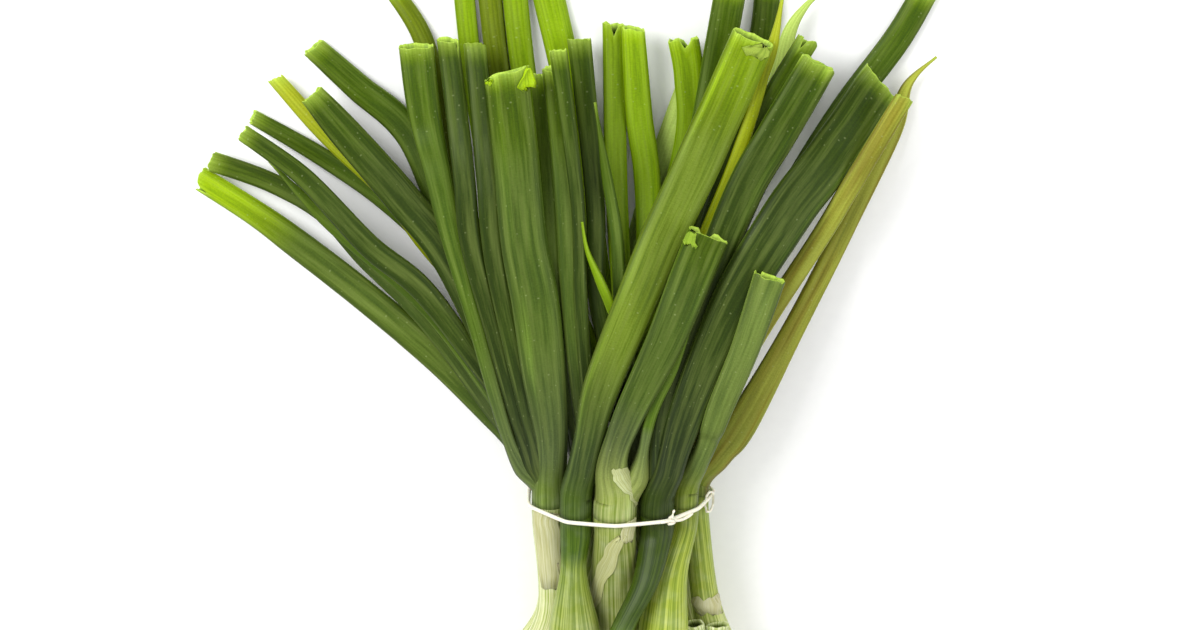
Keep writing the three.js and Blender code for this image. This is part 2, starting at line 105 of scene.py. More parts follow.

# %% [markdown]
# The leaves
#
# A leaf is a flattened tube. Curves could be drawn for them by hand, but a table is easier to read and
# change. Its route is a few points [x, y, width] in plan, from the neck outwards, and its tone names how
# green or yellow it has grown, with painted shade near the neck in some tones. A leaf is trimmed across,
# unless it runs out to a thin tip.

# %% Leaf table
LEAVES = {
    "floor_left": [
        ("grass", 0, [(-22, 34, 5), (-58, 76, 5.2), (-76, 94, 5.8), (-96, 108, 5.4), (-118, 121, 4.2)]),
        ("yellow", 0, [(-19, 34, 5), (-58, 75, 4.6), (-74, 97, 5.2), (-94, 116, 5.2), (-110, 134, 4.4)]),
        ("grass", 0, [(-17, 34, 6), (-51, 80, 7.8), (-67, 115, 9), (-84, 131, 8.4), (-98, 144, 7)]),
        ("olive", 0, [(-14, 34, 5), (-45, 81, 6.4), (-56, 121, 6.4), (-63, 147, 5.8), (-72, 162, 5)]),
    ],
    "floor_right": [
        ("pale", 0, [(1, 30, 5), (1, 61, 5.8), (8, 90, 6.4), (15, 112, 7), (22, 133, 6.4)]),
        ("bright", 0, [(-4, 30, 5), (-32, 66, 6), (-45, 121, 6), (-50, 165, 6)]),
        ("olive", 0, [(-2, 30, 5), (-24, 66, 6.4), (-37, 124, 6.8), (-42, 166, 6.8)]),
        ("bright", 0, [(1, 30, 6), (-16, 66, 6.8), (-29, 124, 7.2), (-34, 167, 7.4)]),
        ("bright", 0, [(5, 30, 6), (-6, 66, 7.8), (-15, 124, 9), (-24, 166, 9.5)]),
        ("bright", 0, [(7, 30, 6), (10, 63, 7.8), (22, 113, 9), (22, 135, 9), (20, 148, 9.2)]),
    ],
    "low_right": [
        ("grass", 0, [(18, 30, 6), (16, 63, 7.8), (27, 119, 9), (32, 148, 9.4), (35, 166, 9.4)]),
        ("dark", 0, [(20, 30, 6), (22, 64, 7.7), (38, 118, 7.7), (45, 146, 7.7), (47, 165, 7.6)]),
        ("pale", 1, [
            (21, 30, 5), (26, 65, 4.6), (40, 108, 4.6), (50, 135, 4.6),
            (54, 150, 4.6), (59, 158, 4.4), (65, 163, 3.4)]),
        ("grass", 0, [(21, 30, 5), (25, 70, 5.8), (38, 109, 6.4), (47, 130, 6.4), (59, 150, 6.4)]),
        ("grass", 0, [
            (22, 30, 6), (32, 63, 7.8), (54, 96, 8.3),
            (72, 124, 8.3), (88, 146, 8.3), (97, 162, 7.8)]),
    ],
    "low_left": [
        ("lime_tipped", 0, [
            (-35.5, 16.5, 6), (-58, 42, 9), (-81, 62, 9.2),
            (-103, 79, 9), (-118, 90, 7.8), (-135, 101, 7.2)]),
        ("bloomed", 0, [
            (-36.5, 19, 5.2), (-61, 55, 5.8), (-82, 76, 5.8),
            (-95, 90, 5.6), (-112, 100, 5.8), (-131, 107, 6)]),
        ("grass", 1, [(-36.5, 23, 3.4), (-61, 60, 4), (-91, 87, 4), (-103, 99, 3.6), (-112, 109, 3)]),
        ("dark", 0, [(-35.5, 27, 5.2), (-61, 66, 7), (-80, 83, 7), (-101, 105, 5.8), (-120, 119, 4.8)]),
        ("dark", 0, [(-35.5, 34, 7), (-54, 77, 10.2), (-69, 97, 10.8), (-88, 119, 9.6), (-98, 131, 7.2)]),
    ],
    "side_right": [
        ("straw", 1, [
            (33, 14.5, 9), (39, 23, 10), (55, 53, 6.8), (72, 86, 5.8),
            (87, 116, 5.4), (92, 132, 4.4), (101, 141, 1.6)]),
    ],
    "inner_right": [
        ("bright", 0, [(3, 34, 5), (-1, 97, 6.4), (-2, 152, 6.6)]),
        ("bright", 0, [(8, 34, 6), (9, 96, 7.7), (6, 124, 8), (4, 152, 6.8)]),
        ("dark", 0, [(0, 34, 5.2), (-7, 67, 5.4), (-8, 99, 5.4), (-13, 148, 6.9)]),
        ("yellow", 1, [
            (12, 36, 4), (16, 60, 3.8), (36, 112, 3.8),
            (44, 138, 3.8), (48, 150, 3.8), (51, 166, 2.6)]),
        ("grass", 1, [(4, 36, 3.6), (0.5, 57, 3.5), (-1, 87, 3.5), (-4.5, 109, 2.8), (-8, 131, 1.6)]),
    ],
    "inner_left": [
        ("grass", 0, [(-16, 32, 5.2), (-21, 67, 5.8), (-23, 99, 6.3), (-26, 138, 6.3)]),
        ("bloomed", 0, [(-13, 32, 4.6), (-16, 68, 5.2), (-17.5, 100, 5.7), (-22, 142, 4.6)]),
        ("dark", 0, [(-10, 32, 4.2), (-12.5, 68, 3.8), (-13.5, 101, 3.8), (-19.5, 149, 5)]),
        ("bright", 1, [
            (-5, 36, 3.2), (-1, 59, 2.9), (-3, 67, 2.6),
            (-7, 77, 2.5), (-10.5, 86, 2), (-12, 95, 1.2)]),
    ],
    "side_left": [
        ("grass", 0, [
            (-35, 18.5, 3.9), (-46.5, 60, 4.6), (-53.5, 87, 6.4),
            (-58, 108, 8.2), (-62, 126, 9.8), (-64.5, 147, 10.4)]),
        ("dark", 0, [
            (-31, 20.5, 3.9), (-41.5, 61, 5.1), (-47.5, 87, 6.3),
            (-49.5, 109, 6.3), (-54.5, 149, 6.3)]),
        ("dark", 0, [
            (-28.5, 24, 4.5), (-37.5, 68, 5.7), (-40.5, 88, 6.3),
            (-42, 109, 6.6), (-46, 147, 6.4)]),
        ("bloomed", 0, [
            (-22, 21, 10), (-24.5, 45, 13.4), (-27, 68, 14.4),
            (-30.5, 88, 14), (-33, 117, 13.8), (-35.5, 142, 13.7)]),
    ],
    "dark_front": [
        ("dark", 0, [(14, 32, 8), (25.5, 68, 10.2), (39, 104, 11.4), (49.5, 123, 11.9), (62, 145, 11.2)]),
        ("dark", 0, [(21, 32, 11), (36.5, 70, 13.9), (52, 96, 15), (68, 115, 15.2), (83, 135, 14.3)]),
    ],
    "front_right": [
        ("straw", 0, [(27.5, 24, 4.5), (39.5, 48, 5.8), (62.5, 86, 5.8), (73, 105, 5.8), (89, 133, 5.3)]),
        ("faded", 0, [(24, 12, 5.4), (27.6, 21, 6.2), (31.5, 34, 7.6), (39.5, 55, 8.5), (47, 79, 9.7)]),
    ],
    "front_left": [
        ("limed", 0, [(-10, 24, 9), (-5, 44, 11.4), (11, 84, 13.3), (26, 116, 13.9), (41.5, 153, 13.2)]),
    ],
    "front_middle": [
        ("grass", 1, [(5.5, 12, 3), (10, 33, 3.2), (17.5, 50, 3.2), (23.5, 66, 3)]),
        ("bloomed", 0, [(-2.5, 16, 7.8), (2.5, 32, 9), (14.5, 59, 11.4), (22.5, 80, 12.5), (27.5, 93, 12.6)]),
    ],
}
print(sum(len(rows) for rows in LEAVES.values()), "leaves listed")

# %% [markdown]
# How leaves come to lie on each other
#
# A physics run could drop forty leaves in a heap, but it would be slow and would never land them where the
# photo has them. Instead the leaves are laid one by one, lowest plant first. Each one droops towards the
# surface, and where it crosses a leaf that lies there already it bends over it, with a smooth rise before
# and after.

# %% Small sums


def lerp(a, b, t):
    return a + (b - a) * t


def clamp(v, low=0.0, high=1.0):
    return max(low, min(high, v))


def smooth(t):
    t = clamp(t)
    return t * t * (3 - 2 * t)


def catmull(a, b, c, d, t):
    return 0.5 * (2 * b + (c - a) * t + (2 * a - 5 * b + 4 * c - d) * t * t + (3 * b - a - 3 * c + d) * t**3)


def spline(points, steps):
    last = len(points) - 1
    out = []
    for i in range(last):
        a, b, c, d = points[max(i - 1, 0)], points[i], points[i + 1], points[min(i + 2, last)]
        for k in range(steps):
            out.append([catmull(a[n], b[n], c[n], d[n], k / steps) for n in range(len(b))])
    out.append(list(points[last]))
    return out


print("a spline through three points in four steps has", len(spline([(0,), (1,), (2,)], 4)), "points")

# %% Route of a leaf


class Station:
    """One cross-section of a leaf: middle, half width a, half thickness b, distance s along the leaf."""

    def __init__(self, x, y, width):
        self.x, self.y, self.a = x, y, width / 2
        self.z = self.b = self.s = 0.0


def route_leaf(plant, index, count, row):
    tone, pointed, route = row
    neck_x, neck_z, radius = PLANTS[plant]["neck"]
    half = radius * LEAF_SHARES.get(count, MANY_SHARE)
    seat = 0 if count == 1 else (radius - half) * (2 * index / (count - 1) - 1)
    lean = clamp((route[-1][0] - route[0][0]) / (LEAN_SHARE * route[-1][1]), -1, 1)
    start_x = neck_x + lean * abs(seat) * SEAT_ASIDE
    stations = [Station(*p) for p in spline([(start_x, NECK_END + JOINT_GAP, 2 * half), *route], SPAN_STEPS)]
    along = 0
    for i, p in enumerate(stations):
        if i:
            along += math.hypot(p.x - stations[i - 1].x, p.y - stations[i - 1].y)
        p.s = along
        p.b = lerp(half * FOOT_THICK, min(THIN_LEAF + THICK_SHARE * p.a, p.a), smooth(along / RISE))
    start = neck_z + seat * SEAT_UP
    return {
        "plant": plant, "index": index, "tone": tone,
        "pointed": pointed, "stations": stations, "start": start}


widths = [point[2] for rows in LEAVES.values() for row in rows for point in row[2]]
print("leaves are up to", max(widths), "mm across")

# %% Lay the leaves


def nearest(p, stations):
    best = (math.inf, 0, 0, 0)
    for u, v in zip(stations, stations[1:]):
        dx, dy = v.x - u.x, v.y - u.y
        t = clamp(((p.x - u.x) * dx + (p.y - u.y) * dy) / (dx * dx + dy * dy))
        d = math.hypot(p.x - lerp(u.x, v.x, t), p.y - lerp(u.y, v.y, t))
        if d < best[0]:
            best = (d, lerp(u.z, v.z, t), lerp(u.a, v.a, t), lerp(u.b, v.b, t))
    return best


def needed(p, plant, laid):
    height = p.b * FLAT_SHARE
    for other in laid:
        d, z, a, b = nearest(p, other["stations"])
        reach = p.a + a + STACK_GAP
        if d >= reach:
            continue
        share = smooth((p.s - RISE / 2) / RISE) if other["plant"] == plant else 1
        lift = (p.b + b + STACK_GAP) * math.sqrt(1 - (d / reach) ** 2)
        height = max(height, lerp(p.b, z + lift, share))
    return height


def lay_leaf(leaf, laid):
    stations = leaf["stations"]
    need = [needed(p, leaf["plant"], laid) for p in stations]
    droop = [lerp(leaf["start"], p.b * FLAT_SHARE, smooth(p.s / DROOP)) for p in stations]
    wish = [max(pair) for pair in zip(need, droop)]
    near = [[j for j, q in enumerate(stations) if abs(p.s - q.s) <= SETTLE] for p in stations]
    tops = [max(wish[j] for j in close) for close in near]
    bent = [sum(tops[j] for j in close) / len(close) for close in near]
    for i, p in enumerate(stations):
        p.z = max(lerp(leaf["start"], bent[i], smooth(p.s / RISE)), need[i] if i else 0)


leaves = []
for plant, rows in LEAVES.items():
    for index, row in enumerate(rows):
        leaf = route_leaf(plant, index, len(rows), row)
        lay_leaf(leaf, leaves)
        leaves.append(leaf)
highest = max(p.z for leaf in leaves for p in leaf["stations"])
print(len(leaves), "leaves laid, the highest at", round(highest, 1), "mm")

# %% [markdown]
# From the bunch's frame to the shared frame
#
# The solid model is moved so that its origin is in the middle of the surface under it. The lowest left bulb
# shows by how much: its neck ends at a known Y, and its widest ring has a corner that points left.

# %% Find the shift
BULB_SIDES = 10
low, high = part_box("floor_left_bulb")
bulb_x, _, _, bulb_r = PLANTS["floor_left"]["bulb"]
SHIFT = Vector((low.x / MM - (bulb_x - bulb_r / math.cos(math.pi / BULB_SIDES)), high.y / MM - NECK_END, 0))
print("the bunch's frame lies at", [round(v, 2) for v in SHIFT])


def place(p):
    """A point of the bunch, in millimetres, to metres in the shared frame."""
    return (Vector(p) + SHIFT) * MM


# %% [markdown]
# Skins
#
# Every part of an onion is a tube of some kind, so one small class gathers tubes into a mesh. It keeps a
# tint for each vertex and a UV map in millimetres: U runs round the tube and V along it, so that a vein
# pattern follows the plant whichever way it bends.

# %% Colours and noise
BRIGHTEST = 0.95


def linear(code, alpha=1.0):
    """An sRGB hex colour as linear values."""
    out = []
    for i in (1, 3, 5):
        c = int(code[i : i + 2], 16) / 255
        out.append(c / 12.92 if c <= 0.04045 else ((c + 0.055) / 1.055) ** 2.4)
    return (*out, alpha)


def blend_tints(stops, at):
    """A colour between [(position, hex), ...], which rise in position."""
    for (a, one), (b, two) in zip(stops, stops[1:]):
        if at <= b:
            t = smooth((at - a) / (b - a))
            return tuple(lerp(p, q, t) for p, q in zip(linear(one), linear(two)))
    return linear(stops[-1][1])


def shaded(colour, factor, alpha=1.0):
    """A colour made darker or lighter, below pure white."""
    return (*(clamp(c * factor, 0, BRIGHTEST) for c in colour[:3]), alpha)


def wander(seed, at, size):
    """Smooth noise between about -1 and 1 that changes over a distance."""
    return noise.noise((at / size, seed * 7.31 + 0.5, seed * 1.7))


print("mid grey in linear values is", round(linear("#808080")[0], 3))

# %% Skin of tubes


def put(name, data):
    """An object in the scene."""
    made = bpy.data.objects.new(name, data)
    bpy.context.scene.collection.objects.link(made)
    return made


class Skin:
    """Gathers tubes, then builds them as one mesh."""

    def __init__(self):
        self.verts, self.faces, self.tints, self.uvs = [], [], [], []

    def tube(self, rows, girth, caps=(True, True)):
        """Each row holds a ring of points, its tint or a list of tints, and its V."""
        rings, tints, along = zip(*rows)
        start, sides = len(self.verts), len(rings[0])
        for ring, tint in zip(rings, tints):
            self.verts += [tuple(place(p)) for p in ring]
            self.tints += tint if isinstance(tint, list) else [tint] * sides
        for r in range(len(rings) - 1):
            for s in range(sides):
                t = (s + 1) % sides
                a, b = start + r * sides, start + (r + 1) * sides
                self.faces.append((a + s, a + t, b + t, b + s))
                u0, u1 = s / sides * girth, (s + 1) / sides * girth
                self.uvs += [(u0, along[r]), (u1, along[r]), (u1, along[r + 1]), (u0, along[r + 1])]
        ends = [(0, 1), (len(rings) - 1, -1)]
        for wanted, (r, turn) in zip(caps, ends):
            if wanted:
                ring = [start + r * sides + s for s in range(sides)]
                self.faces.append(tuple(ring[::-1]) if turn > 0 else tuple(ring))
                self.uvs += [(s / sides * girth, along[r]) for s in range(sides)][:: -1 if turn > 0 else 1]

    def build(self, name, material, slot, *nodes):
        mesh = bpy.data.meshes.new(name)
        mesh.from_pydata(self.verts, [], self.faces)
        tint = mesh.color_attributes.new(name="tint", type="FLOAT_COLOR", domain="POINT")
        tint.data.foreach_set("color", [c for colour in self.tints for c in colour])
        uv = mesh.uv_layers.new(name="along_and_round")
        uv.data.foreach_set("uv", [c for pair in self.uvs for c in pair])
        mesh.polygons.foreach_set("use_smooth", [True] * len(mesh.polygons))
        mesh.materials.append(material)
        mesh.validate()
        piece = put(name, mesh)
        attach(piece, "root")
        if nodes:
            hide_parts(*nodes)
        print(name, len(mesh.polygons), "faces")


print("a skin of", len(Skin().verts), "points to start with")

# %% [markdown]
# Node helper
#
# A material is a small net of nodes. One function adds a node, sets its settings, and fills each input with
# a value or with another node. An input goes by its name, or by its number where two active ones share a
# name.

# %% Node helper


def add(tree, kind, inputs=None, **settings):
    """A node. Each input gets a value, or a link from a socket or from a node's first active output."""
    made = tree.nodes.new("ShaderNode" + kind)
    for name, value in settings.items():
        setattr(made, name, value)
    for name, value in (inputs or {}).items():
        named = [socket for socket in made.inputs if socket.enabled and socket.name == name]
        socket = named[0] if named else made.inputs[name]
        if isinstance(value, bpy.types.Node):
            value = next(output for output in value.outputs if output.enabled)
        if isinstance(value, bpy.types.NodeSocket):
            tree.links.new(value, socket)
        else:
            socket.default_value = value
    return made


def new_material(name):
    made = bpy.data.materials.new(name)
    made.use_nodes = True
    made.node_tree.nodes.clear()
    print("material", name)
    return made, made.node_tree


def painted_material(name):
    """A material that starts from the mesh's UV map and from the tint at its vertices."""
    made, tree = new_material(name)
    uv = add(tree, "UVMap", uv_map="along_and_round")
    return made, tree, uv, add(tree, "VertexColor", layer_name="tint")


# %% [markdown]
# Moist skin and waxy leaf
#
# The lower part of a spring onion is pale, moist skin with green veins about half a millimetre apart.
# Higher up the same tissue is a green leaf, with finer veins under a thin coat of wax. The wax gives a
# soft, greyish bloom that is rubbed off in streaks, so the shine is uneven. The two could be two materials
# with a hard edge, but the plant changes slowly, so the tint's alpha says how far a place has become leaf,
# and the leaf finish fades from one to the other. Plant tissue has an IOR of about 1.4, and light passes a
# little way in, which a small subsurface share gives.

# %% Moist skin finish
SKIN_VEIN = 0.55
SKIN_IOR = 1.4


def skin_colour(tree, uv, tint):
    """The moist skin's colour, its veins and its clouds."""
    lines = add(tree, "Mapping", {"Vector": uv, "Scale": (1 / SKIN_VEIN, 0.02, 1)})
    veins = add(tree, "TexNoise", {"Vector": lines, "Scale": 1.0, "Detail": 2.0, "Roughness": 0.6})
    vein = add(tree, "MapRange", {"Value": veins, "From Min": 0.4, "From Max": 0.58})
    cloud = add(tree, "TexNoise", {"Vector": uv, "Scale": 0.16, "Detail": 4.0})
    green = add(tree, "Mix", {
        "Factor": 1.0, "A": tint, "B": linear("#b3c47e")}, data_type="RGBA", blend_type="MULTIPLY")
    lined = add(tree, "Mix", {"Factor": vein, "A": green, "B": tint}, data_type="RGBA")
    pale = add(tree, "HueSaturation", {"Color": lined, "Saturation": 0.8, "Value": 1.14})
    patch = add(tree, "MapRange", {"Value": cloud, "From Min": 0.45, "From Max": 0.7})
    mixed = add(tree, "Mix", {"Factor": patch, "A": lined, "B": pale}, data_type="RGBA")
    return mixed, veins, cloud


def bulb_finish():
    made, tree, uv, tint = painted_material("moist_onion_skin")
    colour, veins, cloud = skin_colour(tree, uv, tint)
    rough = add(tree, "MapRange", {"Value": cloud, "To Min": 0.28, "To Max": 0.5})
    bump = add(tree, "Bump", {"Height": veins, "Strength": 0.3, "Distance": 0.0005})
    shader = add(tree, "BsdfPrincipled", {
        "Base Color": colour, "Roughness": rough, "Normal": bump,
        "IOR": SKIN_IOR, "Specular IOR Level": 0.28, "Subsurface Weight": 0.15,
        "Subsurface Radius": (1.0, 0.9, 0.5), "Subsurface Scale": 0.0015})
    add(tree, "OutputMaterial", {"Surface": shader})
    return made


BULB = bulb_finish()
print("its veins are", SKIN_VEIN, "mm apart")

# %% Waxy leaf finish
VEIN_SPACING = 0.38  # real veins are a little closer, too fine to show
PORE = 0.5
BLOOM_LENGTH = 55.0
BLOOM_WIDTH = 1.7
SPECK_SPACING = 1.7
LEAF_IOR = 1.42


def leaf_finish():
    made, tree, uv, tint = painted_material("waxy_onion_leaf")
    moist = skin_colour(tree, uv, tint)[0]
    fine = add(tree, "Mapping", {"Vector": uv, "Scale": (1 / VEIN_SPACING, 0.02, 1)})
    veins = add(tree, "TexNoise", {"Vector": fine, "Scale": 1.0, "Detail": 2.5, "Roughness": 0.6})
    pores = add(tree, "TexNoise", {"Vector": uv, "Scale": 1 / PORE, "Detail": 3.0, "Roughness": 0.7})
    mottled = add(tree, "Mix", {"Factor": 0.45, "A": veins, "B": pores}, data_type="FLOAT")
    vein = add(tree, "MapRange", {"Value": mottled, "From Min": 0.36, "From Max": 0.64})
    broad = add(tree, "Mapping", {"Vector": uv, "Scale": (1 / BLOOM_WIDTH, 1 / BLOOM_LENGTH, 1)})
    streaks = add(tree, "TexNoise", {"Vector": broad, "Scale": 1.0, "Detail": 5.0, "Roughness": 0.62})
    streak = add(tree, "MapRange", {"Value": streaks, "From Min": 0.46, "From Max": 0.74})
    dark = add(tree, "HueSaturation", {"Color": tint, "Saturation": 1.1, "Value": 0.74})
    light = add(tree, "HueSaturation", {"Color": tint, "Saturation": 1.05, "Value": 1.14})
    lined = add(tree, "Mix", {"Factor": vein, "A": dark, "B": light}, data_type="RGBA")
    deep = add(tree, "HueSaturation", {"Color": lined, "Hue": 0.515, "Saturation": 1.0, "Value": 0.58})
    rubbed = add(tree, "MapRange", {"Value": streaks, "From Min": 0.5, "From Max": 0.32, "To Max": 0.85})
    streaked = add(tree, "Mix", {"Factor": rubbed, "A": lined, "B": deep}, data_type="RGBA")
    amount = add(tree, "Math", {0: streak, 1: 0.3}, operation="MULTIPLY")
    bloomed = add(tree, "Mix", {"Factor": amount, "A": streaked, "B": linear("#8c9c50")}, data_type="RGBA")
    grid = add(tree, "Mapping", {"Vector": uv, "Scale": (1 / SPECK_SPACING, 0.6 / SPECK_SPACING, 1)})
    cells = add(tree, "TexVoronoi", {"Vector": grid, "Scale": 1.0})
    speck = add(tree, "MapRange", {"Value": cells, "From Min": 0.13, "From Max": 0.05, "To Max": 0.17})
    specked = add(tree, "Mix", {"Factor": speck, "A": bloomed, "B": linear("#b9c58a")}, data_type="RGBA")
    grown = add(tree, "Mix", {"Factor": tint.outputs["Alpha"], "A": moist, "B": specked}, data_type="RGBA")
    rough = add(tree, "MapRange", {"Value": streaks, "To Min": 0.3, "To Max": 0.6})
    bump = add(tree, "Bump", {"Height": mottled, "Strength": 0.3, "Distance": 0.0003})
    shader = add(tree, "BsdfPrincipled", {
        "Base Color": grown, "Roughness": rough, "Normal": bump,
        "IOR": LEAF_IOR, "Specular IOR Level": 0.17, "Subsurface Weight": 0.05,
        "Subsurface Radius": (0.4, 0.9, 0.15), "Subsurface Scale": 0.001})
    add(tree, "OutputMaterial", {"Surface": shader})
    return made


LEAF = leaf_finish()
print("it has", len(LEAF.node_tree.nodes), "nodes, and veins", VEIN_SPACING, "mm apart")

# %% [markdown]
# Leaf shape
#
# A fresh leaf is a tube that has been pressed flat by its neighbours. A bevelled curve could draw it, but
# not with a changing section or an open end, so it is built ring by ring. A superellipse gives the pressed
# section, and slow noise makes it roll and dent along its length. At its foot the section fades into the
# neck's own circle, and that seam lies under the band, so leaf and neck look like the one thing they are.
# The trimmed end is not a flat disc: the tube is open there, so the skin turns in over a ragged rim and
# runs back down inside, with painted shade that deepens as it goes.

# %% Leaf measures
LEAF_SIDES = 30
PRESSED = 0.76  # the power that squares the section: 1 is an ellipse
ROLL = 8.0  # degrees
ROLL_LENGTH = 45
DENT = 0.22
DENT_LENGTH = 60
GROOVE_LENGTH = 70
GROOVE_WIDTH = 0.3
RIPPLE = 0.012
RIPPLE_LENGTH = 18
OPEN_DEPTH = 16.0
WALL = 0.5
FINER = 2
FULLER = 0.35  # how much wider than its solid a free leaf is, a side
FREE_FROM = 30  # where a leaf has its own section
FOOT = 26.0  # the length over which it grows out of the neck's circle
FOOT_RINGS = (0.7, 0.35, 0.0)  # between the neck's end at 1 and the band's middle at 0
BAND_SWELL = 1.04
FOOT_STEP = 0.12
FOOT_TINT = 12
PALE_FEET = {"front_middle": 24}
GREEN_BY = 66  # the halfway tone is reached here at the latest
TIP_LENGTH = 42
WIDE_LEAF = 5.5
FLARE = 5.0
CUT_REACH = 9.0  # the length of leaf that a slanting cut bends
THIN_END = 16.0  # the length over which a pointed leaf flattens, and over which it narrows
NARROW_END = 26.0
THINNEST = 0.15
SLANT = 0.35
PATCHES = 0.2  # how much lighter or darker a patch is
# Painted light on the leaves: shade painted on both sides of each section, a painted highlight along one
# edge, and another along a fold on the top side
PAINTED_SIDE_SHADE = 0.34
EDGE_HIGHLIGHT_POWER = 28  # the power that keeps the lit edge slim
FOLD_HIGHLIGHT = 0.9
FOLD_WIDTH = 0.11

# Inside a trimmed end: depth below the rim, inset from the skin, and how much light comes in, painted as
# shade
INNER_RINGS = [
    (-0.25, 0.18, 1.0), (0.15, WALL, 0.95), (2.5, WALL, 0.5), (7, WALL, 0.26), (OPEN_DEPTH, WALL + 0.2, 0.14)]

TONES = {
    # near the neck, halfway, near the tip; dark and limed hold painted shade near the neck, where leaves
    # crowd
    "grass": ("#526037", "#4a601e", "#445c01"),
    "dark": ("#2a3618", "#334313", "#374c00"),
    "bloomed": ("#48552f", "#445620", "#3f5401"),
    "bright": ("#5e7530", "#72900c", "#7b9a01"),
    "yellow": ("#7a8720", "#838e1c", "#9aa232"),
    "olive": ("#555f26", "#55640a", "#697b01"),
    "limed": ("#33411d", "#637628", "#6f8900"),
    "lime_tipped": ("#455824", "#506324", "#98b806"),
    "pale": ("#8a9956", "#9bb05c", "#b0c66a"),
    "straw": ("#80863a", "#989c42", "#a8ae4a"),
    "faded": ("#5a6a36", "#5f7036", "#6f8434"),
}
RIM = "#b7d45e"
INSIDE = "#49660f"
DRY = "#6f5a17"
# Tints from the bulb's lower end to the band, by Y
PALE_NECK = [(-74, "#e9e3c8"), (-60, "#e0dfbe"), (-46, "#c8cd8c"), (-20, "#abb566"), (4, "#78843a")]
NECK_TINTS = {
    "side_left": [
        (-74, "#e8dfc6"), (-56, "#ddd8b6"), (-36, "#cdcf9a"),
        (-8, "#d0d2a0"), (2, "#97a062"), (4, "#66782f")],
    "front_left": [
        (-64, "#eae5cb"), (-48, "#d8daa8"), (-37, "#98a350"),
        (-20, "#83923a"), (-13, "#4a620e"), (4, "#4a5f1a")],
    "front_middle": [(-70, "#e9e3c8"), (-54, "#c8ca96"), (-36, "#989f5e"), (-10, "#959d58"), (4, "#98a25a")],
    "dark_front": [(-76, "#e0dfbe"), (-64, "#98a852"), (-44, "#62801a"), (-30, "#3c500a"), (4, "#33430a")],
    "front_right": [(-66, "#e9e3c8"), (-52, "#d5d6a0"), (-38, "#a5b244"), (-20, "#9ba83c"), (4, "#7c8a2c")],
    "side_right": [(-70, "#e3dcc0"), (-50, "#c3c690"), (-34, "#a2ad4c"), (-10, "#98a642"), (4, "#74822c")],
}


def seam(height):
    """The Y of the band's middle at a height."""
    return -(height - BUNDLE_MIDDLE) * BAND_LEAN


def turns(sides, shift=0.5):
    """The angle of each corner of a ring."""
    return [(k + shift) / sides * 2 * math.pi for k in range(sides)]


def circle(middle, reach, sides):
    """A ring of points round a middle, in a plane across the bunch."""
    around = [(math.cos(a) * reach, math.sin(a) * reach) for a in turns(sides, 0)]
    return [middle + Vector((x, 0, z)) for x, z in around]


print("leaf tones:", *TONES)

# %% Leaf rings


def finer(stations):
    """The stations with points between them, and with their heights eased a little."""
    rows = [(p.x, p.y, p.z, p.a, p.b, p.s) for p in stations]
    eased = [rows[0]]
    for before, row, after in zip(rows, rows[1:], rows[2:]):
        eased.append((row[0], row[1], 0.25 * before[2] + 0.5 * row[2] + 0.25 * after[2], *row[3:]))
    return spline([*eased, rows[-1]], FINER)


def row_at(rows, s):
    """The place s along a leaf, and the direction of the leaf there."""
    for u, v in zip(rows, rows[1:]):
        if s <= v[5] or v is rows[-1]:
            t = (s - u[5]) / max(v[5] - u[5], 1e-6)
            return [lerp(p, q, t) for p, q in zip(u, v)], (Vector(v[:3]) - Vector(u[:3])).normalized()


def section(row, direction, seed, flat=1.0, inset=0.0, push=None):
    """One ring of a leaf round a point of its route."""
    x, y, z, a, b, s = row
    across = Vector((direction.y, -direction.x, 0)).normalized()
    up = across.cross(direction).normalized()
    roll = math.radians(ROLL) * wander(seed, s, ROLL_LENGTH) * smooth(s / RISE)
    dent = DENT * smooth(s / FREE_FROM) * (0.5 + 0.5 * wander(seed + 3, s, DENT_LENGTH))
    groove = 0.5 * wander(seed + 5, s, GROOVE_LENGTH)
    half = max(a + FULLER * smooth(s / FREE_FROM) - inset, THINNEST)
    ripple = 1 + RIPPLE * wander(seed + 9, s, RIPPLE_LENGTH)
    ring = []
    for k, angle in enumerate(turns(LEAF_SIDES)):
        c, d = math.cos(angle), math.sin(angle)
        wide = math.copysign(abs(c) ** PRESSED, c)
        tall = math.copysign(abs(d) ** PRESSED, d)
        tall *= 1 - dent * math.exp(-(((wide - groove) / GROOVE_WIDTH) ** 2))
        h = -wide * half * ripple
        v = tall * max(b * flat - inset, THINNEST)
        h, v = h * math.cos(roll) - v * math.sin(roll), h * math.sin(roll) + v * math.cos(roll)
        point = Vector((x, y, z)) + across * h + up * v + direction * (push[k] if push else 0)
        point.z = max(point.z, 0.05 + inset)
        ring.append(point)
    return ring


def foot_ring(ring, middle, plant, layer, grown):
    """A leaf's ring faded to the circle of its neck: grown is 0 at the band and 1 where the leaf is free."""
    x, z, radius = PLANTS[plant]["neck"]
    reach = radius * BAND_SWELL - FOOT_STEP * layer
    moved = smooth(grown * 1.9)
    centre = Vector((lerp(x, middle[0], moved), 0, lerp(z, middle[2], moved)))
    out = []
    for point, angle in zip(ring, turns(LEAF_SIDES)):
        on_circle = centre + Vector((-math.cos(angle) * reach, point.y, math.sin(angle) * reach))
        own = point - Vector((middle[0], 0, middle[2])) + centre
        out.append(on_circle.lerp(own, smooth(grown)))
    return out


